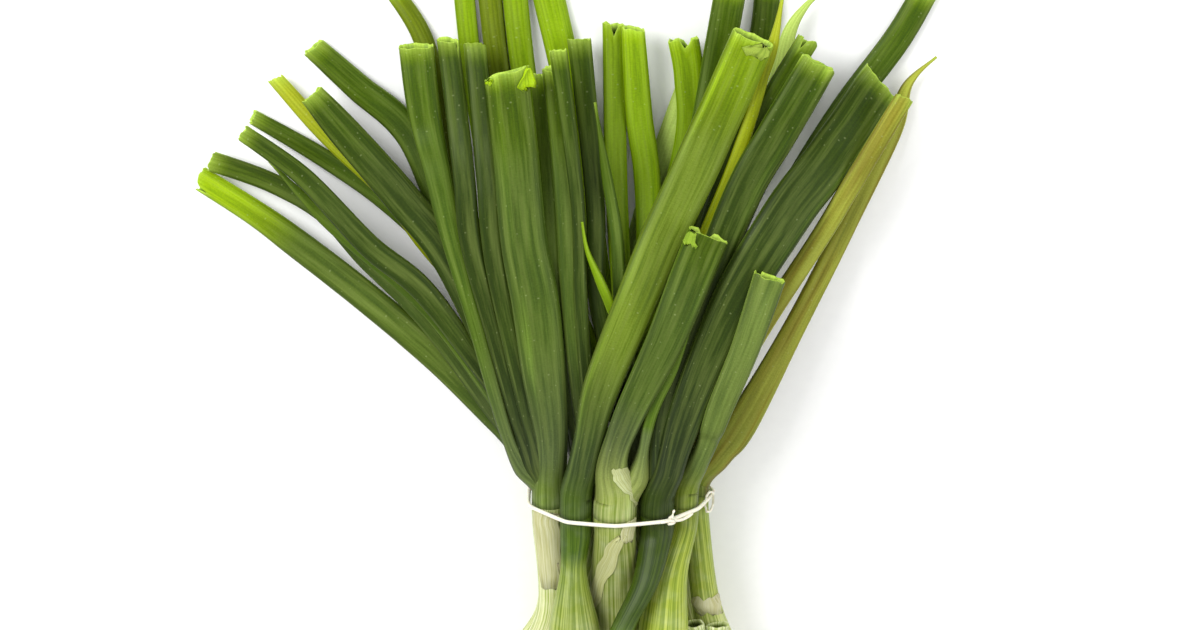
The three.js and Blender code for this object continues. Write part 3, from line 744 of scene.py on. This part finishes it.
def cut_line(seed, half_width):
    """How far each corner of the rim stands past the trim, for a slanting cut with a few splits."""
    draw = random.Random(seed)
    slant = draw.uniform(-SLANT, SLANT) * half_width
    turn = draw.uniform(0, 2 * math.pi)
    line = []
    for angle in turns(LEAF_SIDES):
        ragged = 0.9 * noise.noise((math.cos(angle) * 2.2, math.sin(angle) * 2.2, seed * 3.1))
        line.append(slant * math.cos(angle + turn) + ragged - 0.3)
    for _ in range(draw.choice((0, 1, 1, 2))):
        k = draw.randrange(LEAF_SIDES)
        line[k] -= draw.uniform(1.5, 4.2)
        line[(k + 1) % LEAF_SIDES] -= draw.uniform(0.6, 2.2)
    return line


first = finer(leaves[0]["stations"])
print("the first leaf has", len(first), "rings over", round(first[-1][5]), "mm")

# %% Leaf tints


def leaf_tints(leaf, length, seed):
    """A function giving a ring's tints by its distance: painted shade at the sides, painted highlights on one
    edge and a fold.
    """
    near_neck, halfway, tip = TONES[leaf["tone"]]
    foot = NECK_TINTS.get(leaf["plant"], PALE_NECK)[-1][1]
    free, late = min(GREEN_BY, 0.4 * length), max(GREEN_BY + 1, length - TIP_LENGTH)
    pale_to = PALE_FEET.get(leaf["plant"], FOOT_TINT)
    stops = [
        (-6, foot), (pale_to, near_neck), (free + 1, halfway),
        (late + 2, halfway), (late + 35, tip), (late + 50, RIM)]
    draw = random.Random(seed)
    shade = draw.uniform(0.86, 1.12)
    bright_side = draw.choice((-1, 1))
    wide = max(p.a for p in leaf["stations"]) > WIDE_LEAF
    fold = draw.uniform(0.35, 0.75) * -bright_side if wide else 2

    def at(s):
        colour = blend_tints(stops, s)
        out = []
        for angle in turns(LEAF_SIDES):
            c, d = math.cos(angle), math.sin(angle)
            patch = 1 + PATCHES * noise.noise((s / 22, c * 0.9, seed * 1.3 + d * 0.9))
            # painted shade on both sides of the section, and a painted highlight along one edge
            edge = 1 - PAINTED_SIDE_SHADE * abs(c) ** 5 + max(0, c * bright_side) ** EDGE_HIGHLIGHT_POWER
            # a painted highlight along a fold, on the top side only
            lit = clamp(0.4 + 1.2 * wander(seed + 2, s, 30)) * (d > 0)
            fold_highlight = 1 + FOLD_HIGHLIGHT * math.exp(-(((c - fold) / FOLD_WIDTH) ** 2)) * lit
            tone = shade * patch * edge * fold_highlight
            if leaf["tone"] == "straw":
                dry = clamp(2.5 * noise.noise((s / 40, c * 2.5, seed + d * 2.5)))
                colour = tuple(lerp(p, q, 0.6 * dry) for p, q in zip(blend_tints(stops, s), linear(DRY)))
            out.append(shaded(colour, tone, smooth((s + 3) / 14)))
        return out

    return at


print("the rim is", RIM, "and the inside", INSIDE)

# %% Leaf builder


def mouth(s, length):
    """How far a trimmed leaf stands open at a distance along it: 1 is its pressed height."""
    return 1 + 0.3 * smooth((s - (length - FLARE)) / FLARE)


def leaf_skin(skin, leaf, seed, layer):
    rows = finer(leaf["stations"])
    length = rows[-1][5]
    plant = leaf["plant"]
    tinted = leaf_tints(leaf, length, seed)
    cut = None if leaf["pointed"] else cut_line(seed, rows[-1][3])
    last = len(rows) - 1
    points = [Vector(row[:3]) for row in rows]
    built = []
    for i, row in enumerate(rows):
        heading = (points[min(i + 1, last)] - points[i - 1]).normalized() if i else Vector((0, 1, 0))
        push, thin = None, 1.0
        if cut:
            push = [v * smooth((row[5] - (length - CUT_REACH)) / CUT_REACH) for v in cut]
            thin = mouth(row[5], length)
        else:
            thin = lerp(0.35, 1, smooth((length - row[5]) / THIN_END))
            row = (*row[:3], row[3] * lerp(0.12, 1, smooth((length - row[5]) / NARROW_END)), *row[4:])
        ring = section(row, heading, seed, thin, push=push)
        grown = (row[5] + NECK_END) / FOOT
        if grown < 1:
            ring = foot_ring(ring, row, plant, layer, grown)
        built.append((ring, tinted(row[5]), row[5]))
    base = built[0][0]
    for t in FOOT_RINGS:
        lower = foot_ring(base, rows[0], plant, layer, t * NECK_END / FOOT)
        ring = [Vector((p.x, lerp(seam(p.z), p.y, t), p.z)) for p in lower]
        s = -NECK_END * (1 - t)
        built.insert(0, (ring, tinted(s), s))
    if cut:
        for depth, inset, light in INNER_RINGS:
            row, heading = row_at(rows, min(length - depth, length))
            fade = smooth((CUT_REACH - max(depth, 0)) / CUT_REACH)
            push = [v * fade - min(depth, 0) for v in cut]
            ring = section(row, heading, seed, mouth(length - depth, length), inset, push)
            # the inner rings take painted shade, deeper the further down they go
            built.append((ring, shaded(linear(RIM if light > 0.6 else INSIDE), light), length + abs(depth)))
    skin.tube(built, 4 * max(row[3] for row in rows))
    return [row[0] for row in built[: len(rows) + len(FOOT_RINGS)]]


print("a trimmed end is open", OPEN_DEPTH, "mm deep")

# %% Grow the leaves
leaf_rings = {}
for plant in PLANTS:
    skin = Skin()
    own = [leaf for leaf in leaves if leaf["plant"] == plant]
    for leaf in own:
        seed = 10 * list(PLANTS).index(plant) + leaf["index"] + 1
        leaf_rings[plant, leaf["index"]] = leaf_skin(skin, leaf, seed, len(own) - 1 - leaf["index"])
    skin.build(plant + "_fine_leaves", LEAF, "leaf", plant + "_leaves")

# %% [markdown]
# Necks and bulbs
#
# A bulb is a stack of swollen leaf bases, so its skin shows fine green veins that run down the neck and fan
# out over the swelling. It could be sculpted, but then it might leave its solid. The solid's stations are
# joined by a smooth curve and given slow bumps. Under the band the neck's ring leans as the band does, and
# above it the skin turns in, out of sight inside the leaves.

# %% Neck and bulb builder
NECK_SIDES = 44
NECK_STEPS = 7
ROOT_PLATE = 0.36
LEANS_TO = 14  # how far below the band a ring still leans as the band does
NECK_BUMPS = 0.02
NECK_RIBS = 0.008


def bulb_rows(shape):
    """Stations [x, y, z, radius] of the solid bulb, from the band down to the root plate."""
    neck, stem, bulb = shape["neck"], shape["stem"], shape["bulb"]
    x, y, z, radius = bulb
    return [
        (neck[0], 0, neck[1], neck[2] * BAND_SWELL),
        (neck[0], -BAND_HALF, neck[1], neck[2]),
        *stem,
        [lerp(a, b, 0.55) for a, b in zip(stem[-1], bulb)],
        (x, y + 0.35 * radius, z, 0.94 * radius),
        (x, y + 1, z, radius),
        (x, y - 3, z, 0.98 * radius),
        (x, y - 0.75 * radius, z, 0.74 * radius),
        (x, y - radius, z, ROOT_PLATE * radius),
    ]


def neck_ring(row, seed):
    x, y, z, radius = row
    free = smooth(-y / LEANS_TO)
    out = []
    for angle in turns(NECK_SIDES):
        c, d = math.cos(angle), math.sin(angle)
        bumps = NECK_BUMPS * noise.noise((c * 1.5, d * 1.5, y / 16 + seed))
        bumps += NECK_RIBS * math.cos(6 * angle + seed)
        reach = radius * (1 + bumps * free)
        height = max(z + d * reach, 0.02)
        out.append(Vector((x + c * reach, y + seam(height) * (1 - free), height)))
    return out


def bulb_skin(skin, plant, seed):
    rows = spline(bulb_rows(PLANTS[plant]), NECK_STEPS)
    stops = NECK_TINTS.get(plant, PALE_NECK)
    x, _, z, radius = rows[0]
    rows = [(x, 3.5, z, radius * 0.84), (x, 0.6, z, radius * 0.94)] + rows
    built = []
    for row in rows:
        colour = blend_tints(stops, max(row[1], stops[0][0]))
        tints = []
        for angle in turns(NECK_SIDES):
            patch = 1 + 0.1 * noise.noise((row[1] / 9, math.cos(angle) * 1.6, seed + math.sin(angle) * 1.6))
            tints.append(shaded(colour, patch))
        built.append((neck_ring(row, seed), tints, -row[1]))
    skin.tube(built, 2 * math.pi * PLANTS[plant]["neck"][2])
    return [row[0] for row in built]


neck_rings = {}
for plant in PLANTS:
    skin = Skin()
    neck_rings[plant] = bulb_skin(skin, plant, 3 + list(PLANTS).index(plant))
    skin.build(plant + "_fine_bulb", BULB, "neck_and_bulb", plant + "_bulb")

# %% [markdown]
# Papery skins
#
# The oldest leaf of each plant dries to a thin beige paper, which splits, wrinkles and lifts at its edges.
# A cloth run could crumple it, but here each skin is a closed sheet a tenth of a millimetre thick, laid
# over a tube that is already built. Its sides wander, its ends are torn, and its edges curl away. Dry and
# fibrous, it has no gloss.

# %% Papery skin finish
PAPER_WRINKLE = 0.8


def paper_finish():
    made, tree, uv, tint = painted_material("dry_onion_paper")
    long = add(tree, "Mapping", {"Vector": uv, "Scale": (1 / PAPER_WRINKLE, 0.05, 1)})
    fibres = add(tree, "TexNoise", {"Vector": long, "Scale": 1.0, "Detail": 4.0, "Roughness": 0.65})
    fibre = add(tree, "MapRange", {"Value": fibres, "From Min": 0.35, "From Max": 0.65})
    darker = add(tree, "Mix", {
        "Factor": 1.0, "A": tint, "B": linear("#cfcb9c")}, data_type="RGBA", blend_type="MULTIPLY")
    mixed = add(tree, "Mix", {"Factor": fibre, "A": darker, "B": tint}, data_type="RGBA")
    bump = add(tree, "Bump", {"Height": fibres, "Strength": 0.5, "Distance": 0.0004})
    shader = add(tree, "BsdfPrincipled", {
        "Base Color": mixed, "Roughness": 0.55, "Normal": bump, "IOR": 1.45,
        "Subsurface Weight": 0.15, "Subsurface Radius": (1.0, 0.85, 0.5), "Subsurface Scale": 0.001})
    add(tree, "OutputMaterial", {"Surface": shader})
    return made


PAPER = paper_finish()
print("its wrinkles are", PAPER_WRINKLE, "mm apart")

# %% Papery skin builder
PAPER_THICK = 0.1
PAPER_STEPS = 16
SIDE_WANDER = 12  # degrees
LIFTED_FROM = 0.65  # the share of the half width from which the edge curls
SHEET_GIRTH = 30


def on_ring(ring, angle):
    """The point of a ring at an angle, between its corners."""
    at = angle / (2 * math.pi) * len(ring) - 0.5
    k = math.floor(at)
    return ring[k % len(ring)].lerp(ring[(k + 1) % len(ring)], at - k)


def peel(skin, rings, high, low, top_turns, low_turns, code, seed, curl=0.3):
    """A sheet over a tube from Y high to low; the turns are its sides there, in degrees."""
    middles = [sum(ring, Vector()) / len(ring) for ring in rings]
    chosen = [(ring, middle) for ring, middle in zip(rings, middles) if low <= middle.y <= high]
    built = []
    for i, (ring, middle) in enumerate(chosen):
        t = i / (len(chosen) - 1)
        pairs = enumerate(zip(top_turns, low_turns))
        sides = [lerp(a, b, t) + SIDE_WANDER * wander(seed + n, i, 2.5) for n, (a, b) in pairs]
        torn = clamp(0.62 + 3 * min(t, 1 - t), 0, 1)
        outer, inner = [], []
        for j in range(PAPER_STEPS + 1):
            u = j / PAPER_STEPS
            angle = math.radians(lerp(sides[0], sides[1], 0.5 + (u - 0.5) * torn))
            point = on_ring(ring, angle)
            away = Vector((point.x - middle.x, 0, point.z - middle.z)).normalized()
            edge = clamp((abs(2 * u - 1) - LIFTED_FROM) / (1 - LIFTED_FROM))
            raised = curl * edge * edge * (0.5 + 0.5 * wander(seed + 5, i + 9 * u, 3))
            lift = 0.08 + raised + 0.06 * wander(seed, i + 20 * u, 2)
            ragged = 1.6 * wander(seed + 3, u * 14, 2) * (2 * t - 1) ** 6
            torn_end = Vector((0, ragged * (1 if t < 0.5 else -1), 0))
            outer.append(point + torn_end + away * (lift + PAPER_THICK))
            inner.append(point + torn_end + away * lift)
        shade = 1 + 0.12 * wander(seed + 7, i, 2)
        built.append((outer + inner[::-1], shaded(linear(code), shade), -middle.y))
    skin.tube(built[::-1], SHEET_GIRTH)


print("a sheet is", PAPER_THICK, "mm thick, with", PAPER_STEPS, "steps across")

# %% [markdown]
# Torn flaps
#
# Where a blade drags, a trimmed leaf tears and a flap of it folds over its end. A flap is a closed sheet
# like a papery skin, so the same function lays it over the leaf, but it has the leaf's own finish and curls
# further away.

# %% Torn flaps of the trimmed leaves
FLAPS = [
    # plant, leaf, high, low, the two sides at the top and at the bottom, colour, curl
    ("side_left", 3, 160, 135, (100, 168), (140, 160), "#a5c81e", 2.4),
    ("side_left", 3, 160, 139, (30, 75), (40, 60), "#9cbf1c", 1.5),
    ("front_left", 0, 170, 147, (70, 150), (100, 135), "#93a84a", 0.8),
    ("dark_front", 1, 170, 128, (140, 172), (150, 168), "#84a81c", 1.4),
    ("front_middle", 1, 110, 88, (25, 80), (35, 60), "#8aa63e", 1.4),
]
skin = Skin()
for number, (plant, leaf, high, low, top_turns, low_turns, code, curl) in enumerate(FLAPS):
    peel(skin, leaf_rings[plant, leaf], high, low, top_turns, low_turns, code, 60 + number, curl)
skin.build("torn_leaf_flaps", LEAF, "leaf")

# %% [markdown]
# Trimmed leaf bases
#
# Two leaves of the right neck were cut off short, and their hollow bases still stand in its papery collar.
# A screw modifier could turn such a stub, but one tube that runs up the outside, over the rim and down
# inside is simpler.

# %% Trimmed leaf bases
BASE_SIDES = 24
BASE_WALL = 0.6
BASE_PRESSED = 0.85
# Up the outside and down the inside: share of the height, inset, colour, which darkens inside as painted
# shade
BASE_RINGS = [
    (0, 0, "#b7c07c"), (0.35, 0, "#b4bd78"), (0.7, 0, "#bcc486"),
    (0.9, -0.2, "#c9cf9a"), (1, -0.35, "#d2d6aa"), (1, BASE_WALL - 0.3, "#c4cb92"),
    (0.9, BASE_WALL, "#7f8d45"), (0.6, BASE_WALL, "#46551c"), (0.3, BASE_WALL, "#26300e")]


def trimmed_base(skin, foot, top, radius, seed):
    """A short hollow stub of a leaf, from its foot in the neck to an uneven trimmed mouth."""
    line = [0.9 * noise.noise((math.cos(a) * 1.5, math.sin(a) * 1.5, seed)) for a in turns(BASE_SIDES)]
    built = []
    for t, inset, code in BASE_RINGS:
        middle = Vector(foot).lerp(Vector(top), t)
        reach = radius * lerp(0.8, 1, t) - inset
        ring = [middle + Vector((math.cos(a) * reach, line[k] * t * t, math.sin(a) * reach * BASE_PRESSED))
                for k, a in enumerate(turns(BASE_SIDES))]
        built.append((ring, linear(code), t * (Vector(top) - Vector(foot)).length + inset))
    skin.tube(built[::-1], 2 * math.pi * radius)


skin = Skin()
trimmed_base(skin, (28.5, -56, 26), (23.6, -40, 36), 3.6, 1.5)
trimmed_base(skin, (32, -56, 26), (31.8, -41, 34.5), 3.5, 4.5)
skin.build("trimmed_leaf_bases", BULB, "neck_and_bulb")

# %% [markdown]
# Papery skins on the necks
#
# The left neck is wrapped in dry skin below the band, the middle one has shreds of it on both sides of the
# band, and the right one wears a torn collar. Each is a row of a table, as they differ only in where they
# lie.

# %% Papery skins on the necks
PEELS = {
    # over the neck, or over a leaf by its number: high, low, the sides at the top and at the bottom, colour
    "side_left": [
        ("neck", -1.5, -30, (55, 150), (60, 150), "#c4c49c"),
        ("neck", -17, -27, (48, 85), (45, 80), "#9b8a72")],
    "front_middle": [
        (1, 17, 2, (142, 176), (75, 172), "#b6be8a"),
        ("neck", 0.5, -9, (18, 60), (26, 80), "#c6c79e"),
        ("neck", -6, -36, (50, 92), (140, 176), "#bfc290")],
    "side_right": [("neck", -31, -40, (-30, 185), (-25, 180), "#cbc9a2")],
}
for number, (plant, sheets) in enumerate(PEELS.items()):
    skin = Skin()
    for index, (tube, high, low, top_turns, low_turns, code) in enumerate(sheets):
        rings = neck_rings[plant] if tube == "neck" else leaf_rings[plant, tube]
        peel(skin, rings, high, low, top_turns, low_turns, code, 5 * number + index + 1)
    skin.build(plant + "_papery_skin", PAPER, "neck_and_bulb")

# %% [markdown]
# Root tufts
#
# Spring onions are sold with a short beard of straw coloured roots, each under a millimetre thick. Hair
# curves would be lost when the model is exported, so each root is a thin tapered tube of mesh that wanders
# a little as it goes. Washed and dried in the air, the fibre is matt, with darker stains where soil clung
# to it.

# %% Root finish
STAIN = "#9c8a60"


def root_finish():
    made, tree, uv, tint = painted_material("dry_root_fibre")
    soil = add(tree, "TexNoise", {"Vector": uv, "Scale": 0.5, "Detail": 3.0})
    stain = add(tree, "MapRange", {"Value": soil, "From Min": 0.5, "From Max": 0.75})
    mixed = add(tree, "Mix", {"Factor": stain, "A": tint, "B": linear(STAIN)}, data_type="RGBA")
    bump = add(tree, "Bump", {"Height": soil, "Strength": 0.3, "Distance": 0.0003})
    shader = add(tree, "BsdfPrincipled", {
        "Base Color": mixed, "Roughness": 0.75, "Normal": bump, "IOR": 1.45})
    add(tree, "OutputMaterial", {"Surface": shader})
    return made


ROOT = root_finish()
print("its stains are", STAIN)

# %% Root tufts
ROOTS_A_PLANT = 44
ROOT_LENGTH = 19.0
ROOT_WIDTH = 0.75
ROOT_GIRTH = 2.4
ROOT_WANDER = 1.5
ROOT_SIDES = 5
ROOT_STEPS = 9
ROOT_TINTS = [(0, "#e2d8b4"), (1, "#cbbb8c")]
PLATE = "#b9a878"
PLATE_SIDES = 20
PLATE_GIRTH = 12
PLATE_RINGS = [(0.0, 0.3), (1.4, 0.36), (2.6, 0.33), (3.4, 0.2)]  # behind the bulb, share of its radius
GOLDEN_TURN = math.pi * (3 - math.sqrt(5))  # spreads the roots evenly over the plate


def root_skin(skin, start, end, seed):
    draw = random.Random(seed)
    shade = draw.uniform(0.85, 1.1)
    built = []
    for i in range(ROOT_STEPS):
        t = i / (ROOT_STEPS - 1)
        middle = start.lerp(end, t)
        middle.x += ROOT_WANDER * t * wander(seed, t * 9, 4)
        middle.z = max(middle.z + ROOT_WANDER * t * wander(seed + 40, t * 9, 4), ROOT_WIDTH / 2)
        half = ROOT_WIDTH / 2 * (1 - 0.6 * t)
        tint = shaded(blend_tints(ROOT_TINTS, t), shade)
        built.append((circle(middle, half, ROOT_SIDES), tint, t * ROOT_LENGTH))
    skin.tube(built, ROOT_GIRTH)


for plant, shape in PLANTS.items():
    x, y, z, radius = shape["bulb"]
    skin = Skin()
    plate = y - 0.96 * radius
    rings = [circle(Vector((x, plate - back, z)), r * radius, PLATE_SIDES) for back, r in PLATE_RINGS]
    skin.tube([(ring, linear(PLATE), v) for v, ring in enumerate(rings)], PLATE_GIRTH)
    draw = random.Random(plant)
    for k in range(ROOTS_A_PLANT):
        turn = k * GOLDEN_TURN
        out = math.sqrt((k + 0.5) / ROOTS_A_PLANT)
        side = Vector((math.cos(turn), 0, math.sin(turn)))
        start = Vector((x, plate - 1.5, z)) + side * out * 0.3 * radius
        end = Vector((x, plate - ROOT_LENGTH * draw.uniform(0.6, 1.0), z)) + side * out * 0.78 * radius
        root_skin(skin, start, end, 100 * list(PLANTS).index(plant) + k)
    skin.build(plant + "_fine_roots", ROOT, "roots", plant + "_roots")

# %% [markdown]
# Rubber band
#
# The band is off-white rubber, a little over a millimetre thick where it is stretched. A curve could be
# shrunk round the necks, but a stretched band follows the shortest way round what it holds, so for each
# direction the neck that reaches furthest gives its place. Moulded rubber has a dull satin skin that wears
# matt in patches.

# %% Rubber finish
RUBBER = "#e9e6d2"


def band_finish():
    made, tree, uv, tint = painted_material("stretched_rubber")
    grain = add(tree, "TexNoise", {"Vector": uv, "Scale": 0.9, "Detail": 3.0})
    dull = add(tree, "HueSaturation", {"Color": tint, "Value": 0.86})
    worn = add(tree, "MapRange", {"Value": grain, "From Min": 0.45, "From Max": 0.75})
    mixed = add(tree, "Mix", {"Factor": worn, "A": tint, "B": dull}, data_type="RGBA")
    rough = add(tree, "MapRange", {"Value": grain, "To Min": 0.4, "To Max": 0.65})
    bump = add(tree, "Bump", {"Height": grain, "Strength": 0.2, "Distance": 0.0002})
    shader = add(tree, "BsdfPrincipled", {
        "Base Color": mixed, "Roughness": rough, "Normal": bump,
        "IOR": 1.52, "Subsurface Weight": 0.1, "Subsurface Scale": 0.0008})
    add(tree, "OutputMaterial", {"Surface": shader})
    return made


BAND = band_finish()
print("its colour is", RUBBER)

# %% Course of the band
BAND_TURNS = 240
BAND_STEP = 0.7
BAND_EASE = 8  # steps on each side over which the course is smoothed
BAND_SIDES = 12
BAND_AWAY = 0.1
BAND_SHOWN = 0.64  # the strand's radius


def band_point(angle, away=0.0):
    """The band's middle in one direction from the bundle's middle, and that direction."""
    side = Vector((math.cos(angle), 0, math.sin(angle)))
    necks = [shape["neck"] for shape in PLANTS.values()]
    x, z, radius = max(necks, key=lambda n: n[0] * side.x + n[1] * side.z + n[2])
    reach = radius / math.cos(math.pi / BULB_SIDES) + JOINT_GAP + BAND_THICK / 2 + away
    point = Vector((x, 0, z)) + side * reach
    point.y = seam(point.z)
    return point, side


def strand(skin, middles, half, closed):
    """A round strand along points, each with the direction that faces out of the bundle."""
    lift = Vector((0, 1, 0))
    built = []
    total = 0.0
    for i, (point, side) in enumerate(middles):
        if i:
            total += (point - middles[i - 1][0]).length
        ring = [point + side * math.cos(a) * half + lift * math.sin(a) * half for a in turns(BAND_SIDES, 0)]
        built.append((ring, linear(RUBBER), total))
    skin.tube(built, 2 * math.pi * half, caps=(not closed, not closed))


skin = Skin()
corners = [band_point(i / BAND_TURNS * 2 * math.pi, BAND_AWAY) for i in range(BAND_TURNS + 1)]
steps = []
for (p, side), (q, turned) in zip(corners, corners[1:]):
    count = max(1, round((q - p).length / BAND_STEP))
    steps += [(p.lerp(q, k / count), side.lerp(turned, k / count)) for k in range(count)]
loop = []
for i in range(len(steps) + 1):
    close = [steps[(i + k) % len(steps)] for k in range(-BAND_EASE, BAND_EASE + 1)]
    middle, side = (sum((pair[n] for pair in close), Vector()) / len(close) for n in (0, 1))
    loop.append((middle, side.normalized()))
strand(skin, loop, BAND_SHOWN, True)
print("the band is", round(sum((p[0] - q[0]).length for p, q in zip(loop, loop[1:]))), "mm round")

# %% Knot and loose loop
KNOT_X = 16.0
KNOT_STEPS = 14
LOOSE_STEPS = 18
LOOSE_X = 28.6


def along_band(x, lower=0.0, out=0.0):
    """A point at an X on the front of the band, moved down the bunch and outwards, and the way outwards."""
    point, side = min(loop[: len(loop) // 2], key=lambda pair: abs(pair[0].x - x))
    return point + side * out - Vector((0, lower, 0)), side


doubled = [along_band(x, 1.2 * math.sin(math.pi * clamp((x - KNOT_X) / 8)), 0.5) for x in range(13, 24)]
strand(skin, doubled, BAND_THICK * 0.42, False)
knot = [along_band(KNOT_X + 0.9 * math.sin(2 * a), 1.1 * math.cos(a), 0.6 + 0.6 * math.sin(a))
        for a in (k / KNOT_STEPS * 2 * math.pi for k in range(KNOT_STEPS + 1))]
strand(skin, knot, BAND_THICK * 0.45, True)
stub = [along_band(KNOT_X + 0.5 * t, -3.2 * t, 0.7 + 0.5 * t) for t in (0.0, 0.3, 0.6, 0.9, 1.0)]
strand(skin, stub, BAND_THICK * 0.4, False)
loose = [along_band(LOOSE_X + 0.9 * math.sin(a), 3.4 * math.cos(a) + 1, 0.5 + 0.5 * math.sin(a))
         for a in (k / LOOSE_STEPS * 2 * math.pi for k in range(LOOSE_STEPS + 1))]
strand(skin, loose, BAND_THICK * 0.32, True)
skin.build("fine_rubber_band", BAND, "rubber_band", "rubber_band")

# %% [markdown]
# Floor, light and camera
#
# The photo is lit softly from all round on white. A broad lamp at the upper left gives the leaves their
# long soft highlights, a weaker one fills from the right, and a white world lifts the shadows. The camera
# looks down from the side of the leaf tips, through a long lens, as the photo's camera looked slightly down
# on the standing bunch. The floor is a matt painted board, whose grain is too fine to see.

# %% Floor
FLOOR_HALF = 1.6  # metres


def floor_finish():
    made, tree = new_material("matt_white_table")
    grain = add(tree, "TexNoise", {"Scale": 900.0, "Detail": 2.0})
    tone = add(tree, "Mix", {
        "Factor": grain, "A": linear("#f6f6f6"), "B": linear("#fbfbfb")}, data_type="RGBA")
    shader = add(tree, "BsdfPrincipled", {"Base Color": tone, "Roughness": 0.9})
    add(tree, "OutputMaterial", {"Surface": shader})
    return made


mesh = bpy.data.meshes.new("floor")
corners = [(-1, -1), (1, -1), (1, 1), (-1, 1)]
mesh.from_pydata([(x * FLOOR_HALF, y * FLOOR_HALF, 0) for x, y in corners], [], [(0, 1, 2, 3)])
mesh.materials.append(floor_finish())
floor = put("floor", mesh)
print("floor", 2 * FLOOR_HALF, "m wide")

# %% Light


def lamp(name, place_m, size, watts, aim=(0, 0.03, 0.02)):
    """A round lamp, with its place, its size and the point that it faces in metres."""
    data = bpy.data.lights.new(name, "AREA")
    data.shape, data.size, data.energy = "DISK", size, watts
    made = put(name, data)
    made.location = place_m
    made.rotation_euler = (Vector(aim) - Vector(place_m)).to_track_quat("-Z", "Y").to_euler()
    print(name, size, "m wide,", watts, "W")


lamp("key_lamp", (-0.75, 0.7, 1.0), 0.85, 17)
lamp("fill_lamp", (0.9, 0.1, 1.0), 1.1, 6)
world = bpy.data.worlds.new("pale_room")
world.use_nodes = True
world.node_tree.nodes["Background"].inputs["Color"].default_value = linear("#ffffff")
world.node_tree.nodes["Background"].inputs["Strength"].default_value = 0.84
bpy.context.scene.world = world
bpy.context.scene.view_settings.view_transform = "Standard"

# %% Camera
TILT = math.radians(17)
DISTANCE = 1150.0
FRAME_WIDTH = 384.0  # what the picture shows from side to side at the target
SENSOR = 36.0
TARGET = (-6.4, 61.2, 24.0)
CLIP_END = 10  # metres

camera_data = bpy.data.cameras.new("camera")
camera_data.sensor_width = SENSOR
camera_data.lens = SENSOR * DISTANCE / FRAME_WIDTH
camera_data.clip_end = CLIP_END
camera = put("camera", camera_data)
back = Vector((0, math.sin(TILT), math.cos(TILT)))
camera.location = place(Vector(TARGET) + back * DISTANCE)
camera.rotation_euler = (-TILT, 0, 0)
bpy.context.scene.camera = camera
print("a lens of", round(camera_data.lens), "mm")
